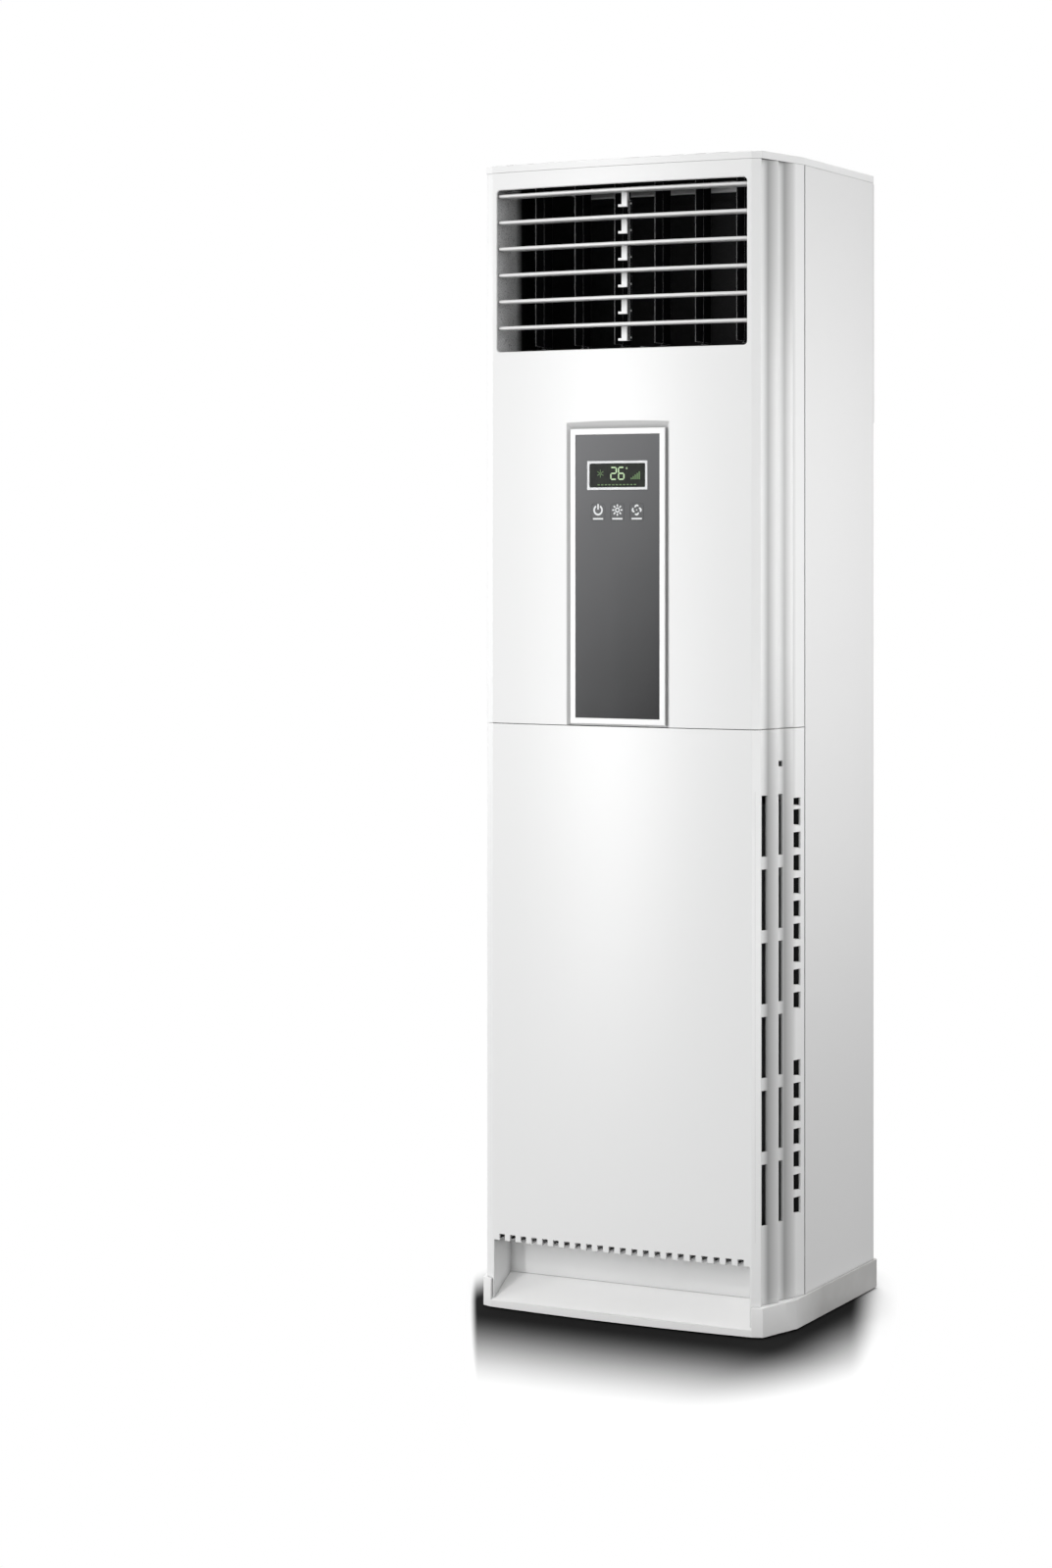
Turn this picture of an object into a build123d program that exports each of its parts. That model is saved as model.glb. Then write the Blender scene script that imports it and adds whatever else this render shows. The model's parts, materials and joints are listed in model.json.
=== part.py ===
from build123d import *
from math import cos, hypot, radians, sin, sqrt, tan
import os

os.makedirs("parts", exist_ok=True)

# A floor standing air conditioner, in millimetres. +Z is up and the front faces -Y.
# The origin is the middle of the plinth's footprint, on the floor.
# Air comes in at the foot of the front and through the slotted columns, passes the
# filters and the blower, goes up through the tilted coil and out between the louvers.

# Case
unit_width = 540.0        # across the plinth
unit_depth = 415.0        # foremost line of the plinth to its back
unit_height = 1825.0      # floor to the top of the cover
plinth_top = 48.0         # floor to the plinth's deck
plinth_reveal = 4.0       # how far the plinth stands out past the case
plinth_wall = 3.0
plinth_corner_run = 75.0  # length of the plinth's front corner facets, along Y
plinth_rib_ahead = 90.0   # plinth's rear rib in front of the rear panel
plinth_rib_low = 10.0     # underside of the ribs above the plinth's rim
cover_height = 12.0
cover_round = 1.8
skin = 3.0                # wall of the moulded panels
sheet = 1.2               # folded steel
seat = 0.3                # clearance between pieces that rest on each other
back_corner = 8.0         # radius of the case's back corners
side_wrap = 24.0          # how far a side panel wraps round the back
side_return = 22.0        # how far it returns behind the seam

# Feet
foot_r = 12.5
foot_height = 3.0
foot_stem_r = 4.0
foot_stem = 8.0
front_foot = (27.0, 75.0)  # in from the plinth's side and behind its front
rear_foot = (30.0, 30.0)   # in from the plinth's side and back

# Rear panel and what it carries
bead_count = 4
bead_first = 330.0        # floor to the lowest pressed bead
bead_pitch = 345.0
bead_length = 380.0
bead_height = 26.0
bead_depth = 3.0
bracket_drop = 60.0       # cover's underside to the anti-tip strap's middle
bracket_half = 78.0
bracket_width = 36.0
bracket_sheet = 1.5
bracket_rise = 2.4        # how far the strap's middle stands off the panel
bracket_hole_x = 45.0
bracket_hole_r = 2.75
pipe_hole_side = 71.0     # case's side to the pipe hole's middle
pipe_hole_z = 150.0
pipe_hole_r = 30.0
grommet_wall = 3.0
grommet_lip = 5.0
gland_side = 51.0         # case's other side to the cord gland's middle
gland_r = 9.0
gland_bore_r = 4.2

# Front: bowed middle, shoulders, and a saw-tooth column at each side
bow_sag = 8.5             # how far the middle stands out past the bow's ends
shoulder_width = 15.0     # bow's end to the ridge, along X
shoulder_drop = 6.0       # the same, along Y
column_width = 23.0       # ridge to the side face, along X
column_depth = 107.5      # ridge to the seam with the side panel, along Y
first_ramp = 42.0         # ridge to the second peak, along Y
second_ramp = 36.0        # second peak to the flat's front edge, along Y
tooth = 6.5               # how far a tooth's steep wall goes in
ramp_crown = 0.7          # how far a ramp bulges
ridge_round = 2.0
side_seam = 3.0           # open joint between a column and the side panel
split_height = 935.0      # floor to the joint between the front panels
split_gap = 1.0
edge_return = 18.0        # width of the upper panel's inward edge at the side seam
rib_width = 2.5           # stiffening ribs inside the bowed skin
rib_depth = 8.0
rib_ends = (130.0, 60.0)  # lowest rib above the bay, highest below the joint
rib_count = 4

# Slots of the intake columns
slot_rows = 6
slot_height = 94.0
slot_pitch = 113.6
slot_top = 102.0          # joint between the panels to the first slot
front_slot_width = 13.0
rear_slot_width = 10.5
slot_inset = 1.5          # slot's front edge behind the foot of its ramp
window_size = (18.0, 22.0)
window_pitch = 35.6
window_top = 127.2        # joint between the panels to the first full window
upper_window_count = 9    # full windows above the plain band
lower_window_count = 7    # and below it
window_band = 105.5       # last window of one group to the first of the next, top to top
half_window = 9.0         # height of the short window over the first group
window_sill = 5.0         # how far the sill slopes down through the wall
short_slot_top = 50.5     # joint between the panels to the short slot over the second row
short_slot_height = 8.5

# Intake bay at the foot
bay_inset = 3.0           # bow's end to the bay's side
bay_top = 110.0
bay_depth = 62.5          # foremost line of the case to the bay's back wall
bay_lip = 14.0            # height of the lip in front of the bay
scoop_gap = 1.0           # scoop of the front panel to the plinth's bay
scoop_wall = 3.0
comb_pitch = 20.0
comb_width = 10.0
comb_rise = 10.0          # how far the comb notches go up the front
panel_lift = 0.5          # the lower front panel clears the plinth by this

# Air outlet
outlet_inset = 8.0        # bow's end to the outlet's side
outlet_height = 258.0
outlet_drop = 28.0        # underside of the cover to the outlet's top
outlet_corner = 6.0
outlet_chamfer = 1.2
duct_margin = 2.0         # duct's side walls stand outside the outlet by this
duct_room = 12.0          # ceiling above the outlet's top
duct_sill = 3.0           # floor below the outlet's bottom
duct_wall = 4.0
duct_depth = 143.5        # foremost line of the case to the duct's back

# Louvers, which tilt together about X
louver_count = 6
louver_first = 9.0        # outlet's top to the first blade
louver_last = 38.25       # last blade to the outlet's bottom
louver_setback = 28.5     # foremost line of the case to the hinge line
louver_chord = 38.0
louver_front = 6.0        # thickness at the front edge
louver_rear = 2.0
louver_nose = 2.5         # length of the slopes at the front edge
louver_relief = 1.5       # front edge behind the panel's skin
louver_end_gap = 1.0      # blade end inside the outlet's side
ear_drop = 20.0           # hinge line to the link's pin
ear_width = 10.0
ear_depth = 8.0
ear_foot = 6.0
link_end = 5.0            # outer pins to the ends of the link
link_width = 6.0
link_thickness = 3.0
link_gap = 1.5            # ear to the link bar
louver_tilt = 25.0        # either way, in degrees

# Vanes, which swing together about Z
vane_count = 6
vane_end = 41.75          # outlet's side to the outer vanes
vane_setback = 88.5       # foremost line of the case to the hinge line
vane_front = 28.0         # hinge line to the front edge
vane_back = 27.0
vane_thickness = 2.4
vane_lift = 14.0          # duct floor to the vane's lower edge
vane_arm = 24.0
arm_thickness = 3.0
arm_width = 8.0

# Pins and running fits
running = 0.08            # radial clearance of a pin in its hole
pivot_r = 2.5
link_pin_r = 1.5
swing_can_r = 14.0
swing_can_height = 20.0
swing_ear_x = 17.5
swing_ear_width = 7.0
swing_ear_sheet = 1.5
swing_screw_r = 1.6

# Display
display_half = 92.0       # half the pocket's mouth
display_drop = 113.0      # outlet's bottom to the top of the pocket's mouth
display_depth = 7.0
display_bevel = 8.0
display_top_bevel = 11.5
bezel_border = 9.5
bezel_gap = 0.5
bezel_foot = 3.0          # lower panel's joint to the bezel's lower edge
plate_recess = 0.8
plate_thickness = 3.0
screen_size = (106.0, 45.5)
screen_drop = 51.0        # bezel's top to the screen frame
screen_border = 4.0
button_size = (24.0, 26.0)
button_pitch = 34.0
button_drop = 22.0        # screen frame to the buttons' top
button_gap = 0.3
button_travel = 0.8
board_thickness = 1.6
board_half = 62.0         # half the opening behind the screen and the buttons
board_margin = 6.0        # opening past the screen and the buttons, and board past the opening

# Structure inside
partition_drop = 43.0     # joint between the panels to the partition's underside
partition_thickness = 3.0
rail_setback = 15.5       # foremost line of the case to the rail's web
rail_height = 35.0
rail_depth = 23.0
rail_sheet = 2.0
partition_rib_end = 30.0  # case's inside to the end of the partition's rib
partition_rib_ahead = 8.0 # scroll's front to the rib's front
partition_rib_sheet = 2.0
partition_rib_height = 12.0
foam_thickness = 6.0      # sheet behind the coil
foam_side = 30.0          # case's inside to its edge
foam_rise = 20.0          # partition to its lower edge
front_clearance = 3.0     # pieces between the two filters stay this far inside their guides
stud_x = 150.0
stud_r = 4.0
stud_length = 26.0

# Filters
filter_thickness = 5.0
filter_inset = 40.0       # case's side to the filter's inner face
filter_low = 150.0
filter_grip = 3.5         # filter's edge inside its guides
guide_gap = 0.5
guide_wall = 1.5
guide_reach = 8.0
filter_lift = 60.0        # room above a filter, to draw it up and out
filter_head = 12.0        # and what is left between it and the partition then

# Blower
fan_height = 470.0
wheel_r = 150.0
blade_inner_r = 125.0
blade_bend = 22.0         # radius of a blade in section
blade_lead = 7.0          # turn from a blade's root to its tip, in degrees
blade_sheet = 1.3
blade_count = 36
wheel_width = 119.0
ring_width = 5.0
ring_depth = 4.0
hub_length = 30.0         # hub behind the back disc
scroll_gap = 20.0         # wheel to the scroll at its tongue
scroll_growth = 20.0      # growth of the scroll's radius in each quarter turn
scroll_back = 48.5        # back of the scroll in front of the case's back
scroll_width = 135.0
neck_reach = 60.0         # how far the neck leans over past the tongue
scroll_foot = 60.0        # length of the feet that stand on the plinth
scroll_hole = 10.0        # round the hub
throat_gap = 3.0          # throat inside the blades' roots
throat_flare = 12.0       # how far the throat opens towards the front
throat_wall = 2.0
shaft_r = 6.0
shaft_ahead = 7.0         # shaft in front of the hub
shaft_end = 8.0           # motor's back to the shaft's end
hub_r = 20.0
motor_r = 62.0
motor_length = 40.0
motor_chamfer = 5.0
motor_ear = (26.0, 12.0, 3.0)         # length, width, thickness
capacitor_size = (36.0, 50.0, 22.0)   # width, height, depth

# Coil
coil_side = 56.0          # case's side to the fins' end
coil_thickness = 40.0
coil_low = (108.5, 93.0)  # bottom middle, behind the front and above the partition
coil_high = (98.5, 59.0)  # top middle, in front of the back and below the duct
end_plate_border = 8.0
end_plate_sheet = 2.0
bend_count = 6            # return bends at each end
bend_r = 12.7
bend_stub = 4.0
tube_r = 4.8
fin_gap_count = 24
fin_gap = 12.0
fin_web = 5.0
suction_r = 8.0
riser_side = 19.0         # case's side to the suction pipe, and on to the liquid pipe
riser_back = 25.5         # back of the case to both pipes
riser_low = 260.0         # floor to the suction pipe's nut
riser_stagger = 35.0      # liquid pipe's nut above the other
riser_shares = (0.45, 0.75)  # how far up the coil the two pipes leave it
pan_gap = 4.0             # return bends to the drain pan's sides
pan_wall = 2.5
pan_height = 38.0
pan_reach = 56.0          # pan's middle to its front and back
drain_inset = 10.0        # fins' end to the drain spout
drain_wall = 1.2
drain_drop = 12.0         # spout below the partition
runner_inset = 12.0       # pan's edge to the runner under it
flare_nut = (1.5, 16.0)   # radius over the pipe's, and height
pipe_level = 40.0         # partition to the pipes' level run
pipe_bend = 14.0

# Control box
control_box_size = (200.0, 80.0, 190.0)
box_wall = 2.0
box_side = 6.0            # box to the end of the room between the filters
box_setback = 70.0        # foremost line of the case to the box
box_hole_r = 10.0         # for the cables
box_hole_inset = 40.0
vent_count = 4            # slots in the lid
vent_width = 3.0
vent_pitch = 8.0
vent_first = 18.0
main_board_edge = 10.0    # box's sides and top to the board
main_board_rise = 60.0    # box's floor to the board
part_inset = 12.0         # board's edge to its first part
transformer_size = (44.0, 34.0, 40.0)
relay_size = (18.0, 16.0, 26.0)
relay_count = 4
relay_gap = 8.0
terminal_size = (110.0, 20.0, 28.0)
terminal_side = 30.0      # box's side to the terminal block
terminal_rise = 14.0      # box's floor to it
terminal_count = 5
terminal_rib = 6.0        # wall at its ends and between the terminals
terminal_rim = 4.0        # above and below them
terminal_depth = 10.0

# Values that follow from the sizes above
case_x = unit_width / 2 - plinth_reveal
front_y = -unit_depth / 2 + plinth_reveal
back_y = unit_depth / 2 - plinth_reveal
cover_z = unit_height - cover_height
case_top = cover_z - seat
case_low = plinth_top + seat
inner_x = case_x - sheet - seat
bracket_z = cover_z - bracket_drop
pipe_hole_x = case_x - pipe_hole_side
gland_x = gland_side - case_x

ridge_x = case_x - column_width
bow_half = ridge_x - shoulder_width
bow_end_y = front_y + bow_sag
bow_radius = (bow_half ** 2 + bow_sag ** 2) / (2 * bow_sag)
ridge_y = bow_end_y + shoulder_drop
rib_y = ridge_y + first_ramp
flat_y = rib_y + second_ramp
seam_y = ridge_y + column_depth
column_joint_y = ridge_y + skin

bay_half = bow_half - bay_inset
comb_count = int(2 * bay_half / comb_pitch)
lower_top = split_height - split_gap / 2
upper_low = split_height + split_gap / 2
bay_back_y = front_y + bay_depth

outlet_half = bow_half - outlet_inset
outlet_high = cover_z - outlet_drop
outlet_low = outlet_high - outlet_height
duct_half = outlet_half + duct_margin
duct_ceiling = outlet_high + duct_room
duct_floor = outlet_low - duct_sill
duct_back_y = front_y + duct_depth

louver_axis_y = front_y + louver_setback
louver_pitch = (outlet_height - louver_first - louver_last) / (louver_count - 1)
louver_heights = [outlet_high - louver_first - i * louver_pitch for i in range(louver_count)]
louver_half = outlet_half - louver_end_gap
vane_axis_y = front_y + vane_setback
vane_pitch = 2 * (outlet_half - vane_end) / (vane_count - 1)
vane_places = [(i - (vane_count - 1) / 2) * vane_pitch for i in range(vane_count)]
arm_low = duct_floor + 8.0
bar_low = arm_low - seat - link_thickness

pocket_top = outlet_low - display_drop
pocket_floor_y = front_y + display_depth
bezel_half = display_half - display_bevel - bezel_gap
bezel_high = pocket_top - display_top_bevel - bezel_gap
bezel_low = split_height + bezel_foot
plate_half = bezel_half - bezel_border
plate_y = front_y + plate_recess
screen_high = bezel_high - screen_drop
screen_mid = screen_high - screen_size[1] / 2
button_mid = screen_high - screen_size[1] - button_drop - button_size[1] / 2
board_high = screen_high + board_margin
board_low = button_mid - button_size[1] / 2 - board_margin

partition_low = split_height - partition_drop
partition_high = partition_low + partition_thickness
rail_y = front_y + rail_setback
stud_z = partition_high + seat + rail_height / 2

filter_inner = case_x - filter_inset
guide_inner = filter_inner - guide_gap - guide_wall
front_half = guide_inner - front_clearance
filter_high = partition_low - filter_head - filter_lift
filter_front_y = ridge_y + 15.0
filter_back_y = seam_y - skin - 1.5
scroll_back_y = back_y - scroll_back
scroll_front_y = scroll_back_y - scroll_width
wheel_back_y = scroll_back_y - 6.0
rear_face_y = back_y - sheet - seat
coil_half = case_x - coil_side
suction_x = case_x - riser_side
liquid_x = suction_x - riser_side
riser_y = back_y - riser_back
pan_y = front_y + coil_low[0]
drain_x = coil_half - drain_inset
box_x = box_side - front_half
box_y = front_y + box_setback


def block(x0, x1, y0, y1, z0, z1):
    """Box between two opposite corners."""
    return Pos((x0 + x1) / 2, (y0 + y1) / 2, (z0 + z1) / 2) * Box(x1 - x0, y1 - y0, z1 - z0)


def upright(face, z0, z1):
    """A plan face, drawn in X and Y, carried up from z0 to z1."""
    return extrude(Pos(0, 0, z0) * face, z1 - z0)


def across(points, x0, x1):
    """A section of (y, z) points carried along X."""
    section = make_face(Polyline([(x0, y, z) for y, z in points], close=True))
    return extrude(section, x1 - x0, dir=(1, 0, 0))


def facing(face, y0, y1):
    """An elevation face, drawn in X and Z, carried back from y0 to y1."""
    return extrude(Plane.XZ.offset(-y0) * face, y1 - y0, dir=(0, 1, 0))


def rod(start, direction, radius, length):
    """Round rod from a point along a direction."""
    ends = (Align.CENTER, Align.CENTER, Align.MIN)
    return Plane(origin=start, z_dir=direction) * Cylinder(radius, length, align=ends)


def rectangle(x0, x1, z0, z1):
    """Rectangle between two opposite corners of a drawing."""
    return Pos((x0 + x1) / 2, (z0 + z1) / 2) * Rectangle(x1 - x0, z1 - z0)


# Outlines of the case in plan
def bow_y(x, inset=0.0):
    """Y of the bowed front at x, on the surface that lies inset behind the outer one."""
    return front_y + bow_radius - sqrt((bow_radius - inset) ** 2 - x ** 2)


def bow_arc(half, inset):
    """The bow from -half to half, on the surface that lies inset behind the outer one."""
    end_y = bow_y(half, inset)
    return ThreePointArc((-half, end_y), (0, front_y + inset), (half, end_y))


def column_x(y):
    """The straight line, from the ridge to the side panel, that the column's peaks touch."""
    return ridge_x + column_width * (y - ridge_y) / column_depth


def rounded_at(outline, points, radius):
    """The outline with its corners at the given right-hand points, and their mirrors, rounded."""
    corners = [
        v for v in outline.vertices()
        if any(hypot(abs(v.X) - x, v.Y - y) < 0.01 for x, y in points)
    ]
    return fillet(corners, radius)


def panel_outline(rounded=True):
    """Plan of the front panels: bowed front, shoulders, saw-tooth columns, straight back."""
    peaks = [(ridge_x, ridge_y), (column_x(rib_y), rib_y), (column_x(flat_y), flat_y)]
    half = [Line((bow_half, bow_end_y), peaks[0])]
    for peak, next_peak in zip(peaks, peaks[1:]):
        valley = (peak[0] - tooth, peak[1] + tooth)
        half.append(Line(peak, valley))
        half.append(SagittaArc(valley, next_peak, ramp_crown))
    half.append(Line(peaks[-1], (case_x, seam_y)))
    back = Line((case_x, seam_y), (-case_x, seam_y))
    mirrored = [mirror(edge, about=Plane.YZ) for edge in half]
    outline = make_face([bow_arc(bow_half, 0), back] + half + mirrored)
    return rounded_at(outline, peaks, ridge_round) if rounded else outline


def panel_ring(return_half):
    """Wall of the front panels in plan, open at the back between the inward returns."""
    ring = panel_outline() - offset(panel_outline(False), -skin, kind=Kind.INTERSECTION)
    return ring - rectangle(-return_half, return_half, seam_y - skin - 1, seam_y + 1)


def case_outline():
    """Plan of the whole case: the columns' teeth are bridged by a straight line."""
    points = [
        (bow_half, bow_end_y), (ridge_x, ridge_y), (case_x, seam_y),
        (case_x, back_y), (-case_x, back_y),
        (-case_x, seam_y), (-ridge_x, ridge_y), (-bow_half, bow_end_y),
    ]
    outline = make_face([bow_arc(bow_half, 0), Polyline(points)])
    outline = rounded_at(outline, [(case_x, back_y)], back_corner)
    return rounded_at(outline, [(ridge_x, ridge_y)], ridge_round)


def plinth_outline():
    """Plan of the plinth: it follows the bow, with a long facet at each front corner."""
    half_width = unit_width / 2
    bow_end = bow_half + plinth_reveal / 2
    facet_x = ridge_x + plinth_reveal * 0.75
    facet_y = ridge_y - plinth_reveal
    points = [
        (bow_end, bow_y(bow_end, -plinth_reveal)), (facet_x, facet_y),
        (half_width, facet_y + plinth_corner_run), (half_width, unit_depth / 2),
    ]
    mirrored = [(-x, y) for x, y in reversed(points)]
    outline = make_face([bow_arc(bow_end, -plinth_reveal), Polyline(points + mirrored)])
    return rounded_at(outline, [(half_width, unit_depth / 2)], back_corner)


# Plinth
bay_flat_y = bow_y(bay_half, -plinth_reveal)


def foot_places():
    """Middles of the four feet."""
    front = (unit_width / 2 - front_foot[0], -unit_depth / 2 + front_foot[1])
    rear = (unit_width / 2 - rear_foot[0], unit_depth / 2 - rear_foot[1])
    return [(side * x, y) for side in (-1, 1) for x, y in (front, rear)]


def under_ramp(lift, past=0.0):
    """Section of all that lies under the intake bay's floor, raised by lift."""
    ahead = -unit_depth
    back = bay_back_y + past
    return [
        (ahead, bay_lip + lift), (bay_flat_y, bay_lip + lift), (bay_back_y, plinth_top + lift),
        (back + 1, plinth_top + lift), (back + 1, -1), (ahead, -1),
    ]


def base_plinth():
    """Moulded base, hollow from below, with the intake bay's ramp across its front."""
    bay_side = bay_half + scoop_wall + scoop_gap
    body = upright(plinth_outline(), foot_height, plinth_top)
    bay = block(-bay_side, bay_side, -unit_depth, bay_back_y, foot_height, unit_height)
    bay -= across(under_ramp(0), -bay_side, bay_side)
    side = bay_side + plinth_wall
    over_bay = block(-side, side, -unit_depth, bay_back_y + plinth_wall, 0, unit_height)
    over_bay -= across(under_ramp(-plinth_wall, plinth_wall), -side, side)
    inside = offset(plinth_outline(), -plinth_wall, kind=Kind.INTERSECTION)
    hollow = upright(inside, foot_height, plinth_top - plinth_wall) - over_bay
    rib_low = foot_height + plinth_rib_low
    for y in (0, rear_face_y - plinth_rib_ahead):
        hollow -= block(-unit_width / 2, unit_width / 2, y, y + plinth_wall, rib_low, plinth_top)
    for x, y in foot_places():
        hollow -= Pos(x, y, plinth_top / 2) * Cylinder(foot_r, plinth_top)
    body = body - bay - hollow
    for x, y in foot_places():
        body -= rod((x, y, foot_height), (0, 0, 1), foot_stem_r + seat, foot_stem + 2)
    return body


def rubber_feet():
    """Four rubber discs, each on a stem pressed up into the plinth."""
    feet = []
    for x, y in foot_places():
        disc = rod((x, y, 0), (0, 0, 1), foot_r, foot_height)
        feet.append(disc + rod((x, y, foot_height), (0, 0, 1), foot_stem_r, foot_stem))
    return Compound(children=feet)


# Case
def side_panel():
    """Right side panel: a folded sheet with a return at the seam and a wrap at the back."""
    low_y = seam_y + side_seam
    low_x = case_x - side_wrap
    sheet_area = rectangle(low_x, case_x, low_y, back_y)
    sheet_area = rounded_at(sheet_area, [(case_x, back_y)], back_corner)
    inner = offset(sheet_area, -sheet, kind=Kind.INTERSECTION)
    ring = sheet_area - inner
    ring -= rectangle(low_x - 1, low_x + sheet + 0.8, low_y + sheet, back_y - sheet)
    ring -= rectangle(low_x - 1, case_x - side_return, low_y - 1, low_y + sheet + 1)
    return upright(ring, case_low, case_top)


def rear_panel():
    """Back of the case: a sheet with pressed beads, the pipe hole and the cord's gland hole."""
    half = case_x - back_corner - 1.0
    panel = facing(rectangle(-half, half, case_low, case_top), rear_face_y - sheet, rear_face_y)
    for i in range(bead_count):
        z = bead_first + i * bead_pitch
        press = Pos(0, z) * SlotOverall(bead_length, bead_height)
        dent = Pos(0, z) * SlotOverall(bead_length - 2 * sheet, bead_height - 2 * sheet)
        plane = Plane(origin=(0, rear_face_y, 0), x_dir=(-1, 0, 0), z_dir=(0, 1, 0))
        panel += extrude(plane * press, bead_depth, taper=45)
        panel -= extrude(plane.offset(-sheet) * dent, bead_depth, taper=45)
    grommet_r = pipe_hole_r + grommet_wall + seat
    panel -= rod((pipe_hole_x, back_y, pipe_hole_z), (0, -1, 0), grommet_r, 9)
    panel -= rod((gland_x, back_y, pipe_hole_z), (0, -1, 0), gland_r + seat, 9)
    for x in (-bracket_hole_x, bracket_hole_x):
        panel -= rod((x, back_y, bracket_z), (0, -1, 0), bracket_hole_r + 1.5, 9)
    return panel


def pipe_grommet():
    """Rubber ring that lines the pipe hole, with a lip on each side of the sheet."""
    neck = pipe_hole_r + grommet_wall
    reach = neck + grommet_lip
    low_y = rear_face_y - sheet - seat
    high_y = rear_face_y + seat
    section = make_face(Polyline([
        (pipe_hole_r, low_y - grommet_wall, 0), (reach, low_y - grommet_wall, 0),
        (reach, low_y, 0), (neck, low_y, 0), (neck, high_y, 0), (reach, high_y, 0),
        (reach, high_y + grommet_wall, 0), (pipe_hole_r, high_y + grommet_wall, 0),
    ], close=True))
    ring = revolve(section, Axis.Y)
    return Pos(pipe_hole_x, 0, pipe_hole_z) * ring


def cord_gland():
    """Strain relief for the supply cord: a flanged bush through the rear panel."""
    inside_y = rear_face_y - sheet - seat
    flange = rod((gland_x, rear_face_y + seat, pipe_hole_z), (0, 1, 0), gland_r + 4, 3)
    stem = rod((gland_x, inside_y - 8, pipe_hole_z), (0, 1, 0), gland_r, sheet + 2 * seat + 9)
    nut_area = Pos(gland_x, pipe_hole_z) * RegularPolygon(gland_r + 5, 6)
    nut = facing(nut_area, inside_y - 5, inside_y)
    bore = rod((gland_x, inside_y - 20, pipe_hole_z), (0, 1, 0), gland_bore_r, 60)
    return flange + stem + nut - bore


def wall_bracket():
    """Anti-tip strap on the back: its raised middle has two holes for wall screws."""
    inner_y = rear_face_y + seat
    foot = bracket_half - 16
    top = foot - 6
    under = [(bracket_half, 0), (foot, 0), (top, bracket_rise)]
    over = [(x, y + bracket_sheet) for x, y in reversed(under)]
    half = under[::-1] + over[::-1]
    points = half + [(-x, y) for x, y in reversed(half)]
    plan = make_face(Polyline([(x, inner_y + y) for x, y in points], close=True))
    strap = upright(plan, bracket_z - bracket_width / 2, bracket_z + bracket_width / 2)
    for x in (-bracket_hole_x, bracket_hole_x):
        strap -= rod((x, inner_y - 5, bracket_z), (0, 1, 0), bracket_hole_r, 20)
    return strap


def top_cover():
    """Moulded cap over the whole case, flush with the panels below it."""
    cap = upright(case_outline(), cover_z, unit_height)
    inside = offset(case_outline(), -skin, kind=Kind.INTERSECTION)
    cap = fillet(cap.faces().sort_by(Axis.Z)[-1].edges(), cover_round)
    return cap - upright(inside, cover_z, unit_height - skin)


# Front panels
def display_funnel(grow, y0):
    """Solid of the display's bevelled pocket, grown by grow, from y0 back to its floor."""
    top = pocket_top + grow
    low = split_height
    half = display_half + grow
    mouth = Plane.XZ.offset(-y0) * rectangle(-half, half, low, top)
    floor_half = half - display_bevel
    floor = rectangle(-floor_half, floor_half, low, top - display_top_bevel)
    floor = Plane.XZ.offset(-(pocket_floor_y + grow)) * floor
    return loft([mouth, floor], ruled=True)


def stiffening_rib(z, half):
    """Rib across the inside of the bowed skin."""
    arcs = [bow_arc(half, skin - 0.5), bow_arc(half, skin + rib_depth)]
    sides = [Line(arcs[0] @ 0, arcs[1] @ 0), Line(arcs[0] @ 1, arcs[1] @ 1)]
    return upright(make_face(arcs + sides), z, z + rib_width)


def outlet_face(grow=0.0):
    """The outlet's rounded rectangle, grown by grow."""
    middle = Pos(0, (outlet_low + outlet_high) / 2)
    size = (2 * (outlet_half + grow), outlet_height + 2 * grow)
    return middle * RectangleRounded(*size, outlet_corner + grow)


def upper_front_panel():
    """Upper front: outlet, display pocket, and the plain upper part of both columns."""
    ring = panel_ring(case_x - edge_return)
    body = upright(ring, upper_low, case_top)
    tray = display_funnel(skin, front_y) & upright(panel_outline(False), upper_low, case_top)
    body += tray
    for z in (pocket_top + 40, outlet_low - 22):
        body += stiffening_rib(z, bow_half)
    body -= display_funnel(0, front_y)
    body -= facing(outlet_face(), front_y - 5, bow_end_y + skin + 2)
    opening = rectangle(-board_half, board_half, board_low, board_high)
    body -= facing(opening, pocket_floor_y - 1, pocket_floor_y + skin + 1)
    front_edges = [
        edge for edge in body.edges()
        if edge.center().Y < bow_end_y + 0.5 and abs(edge.center().X) <= outlet_half + 0.5
        and outlet_low - 0.5 < edge.center().Z < outlet_high + 0.5
        and abs(edge.center().Y - bow_y(edge.center().X)) < 0.3
    ]
    return chamfer(front_edges, outlet_chamfer)


def slot(y0, y1, z0, z1):
    """Cutter for one opening of the right column."""
    return block(bow_half, case_x + 5, y0, y1, z0, z1)


def column_openings():
    """Cutters of the right column: two rows of long slots and one row of windows."""
    ramp_feet = (ridge_y + tooth + slot_inset, rib_y + tooth + slot_inset - 0.5)
    widths = (front_slot_width, rear_slot_width)
    cutters = []
    for row in range(slot_rows):
        top = split_height - slot_top - row * slot_pitch
        for foot, width in zip(ramp_feet, widths):
            cutters.append(slot(foot, foot + width, top - slot_height, top))
    top = split_height - short_slot_top
    cutters.append(slot(foot, foot + width, top - short_slot_height, top))
    tops = [split_height - window_top + window_pitch / 2]
    first = split_height - window_top
    for count in (upper_window_count, lower_window_count):
        tops += [first - i * window_pitch for i in range(count)]
        first = tops[-1] - window_band
    window_y = (flat_y + 1.5, flat_y + 1.5 + window_size[0])
    for index, top in enumerate(tops):
        height = window_size[1] if index else half_window
        cutters.append(window(window_y, top - height, top))
    return cutters


def window(window_y, low, high):
    """Cutter with a sill that slopes down and out."""
    low_x = column_x(flat_y) - skin - 2
    points = [(low_x, low), (case_x, low - window_sill), (case_x + 5, low - window_sill),
              (case_x + 5, high), (low_x, high)]
    return facing(make_face(Polyline(points, close=True)), *window_y)


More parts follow.
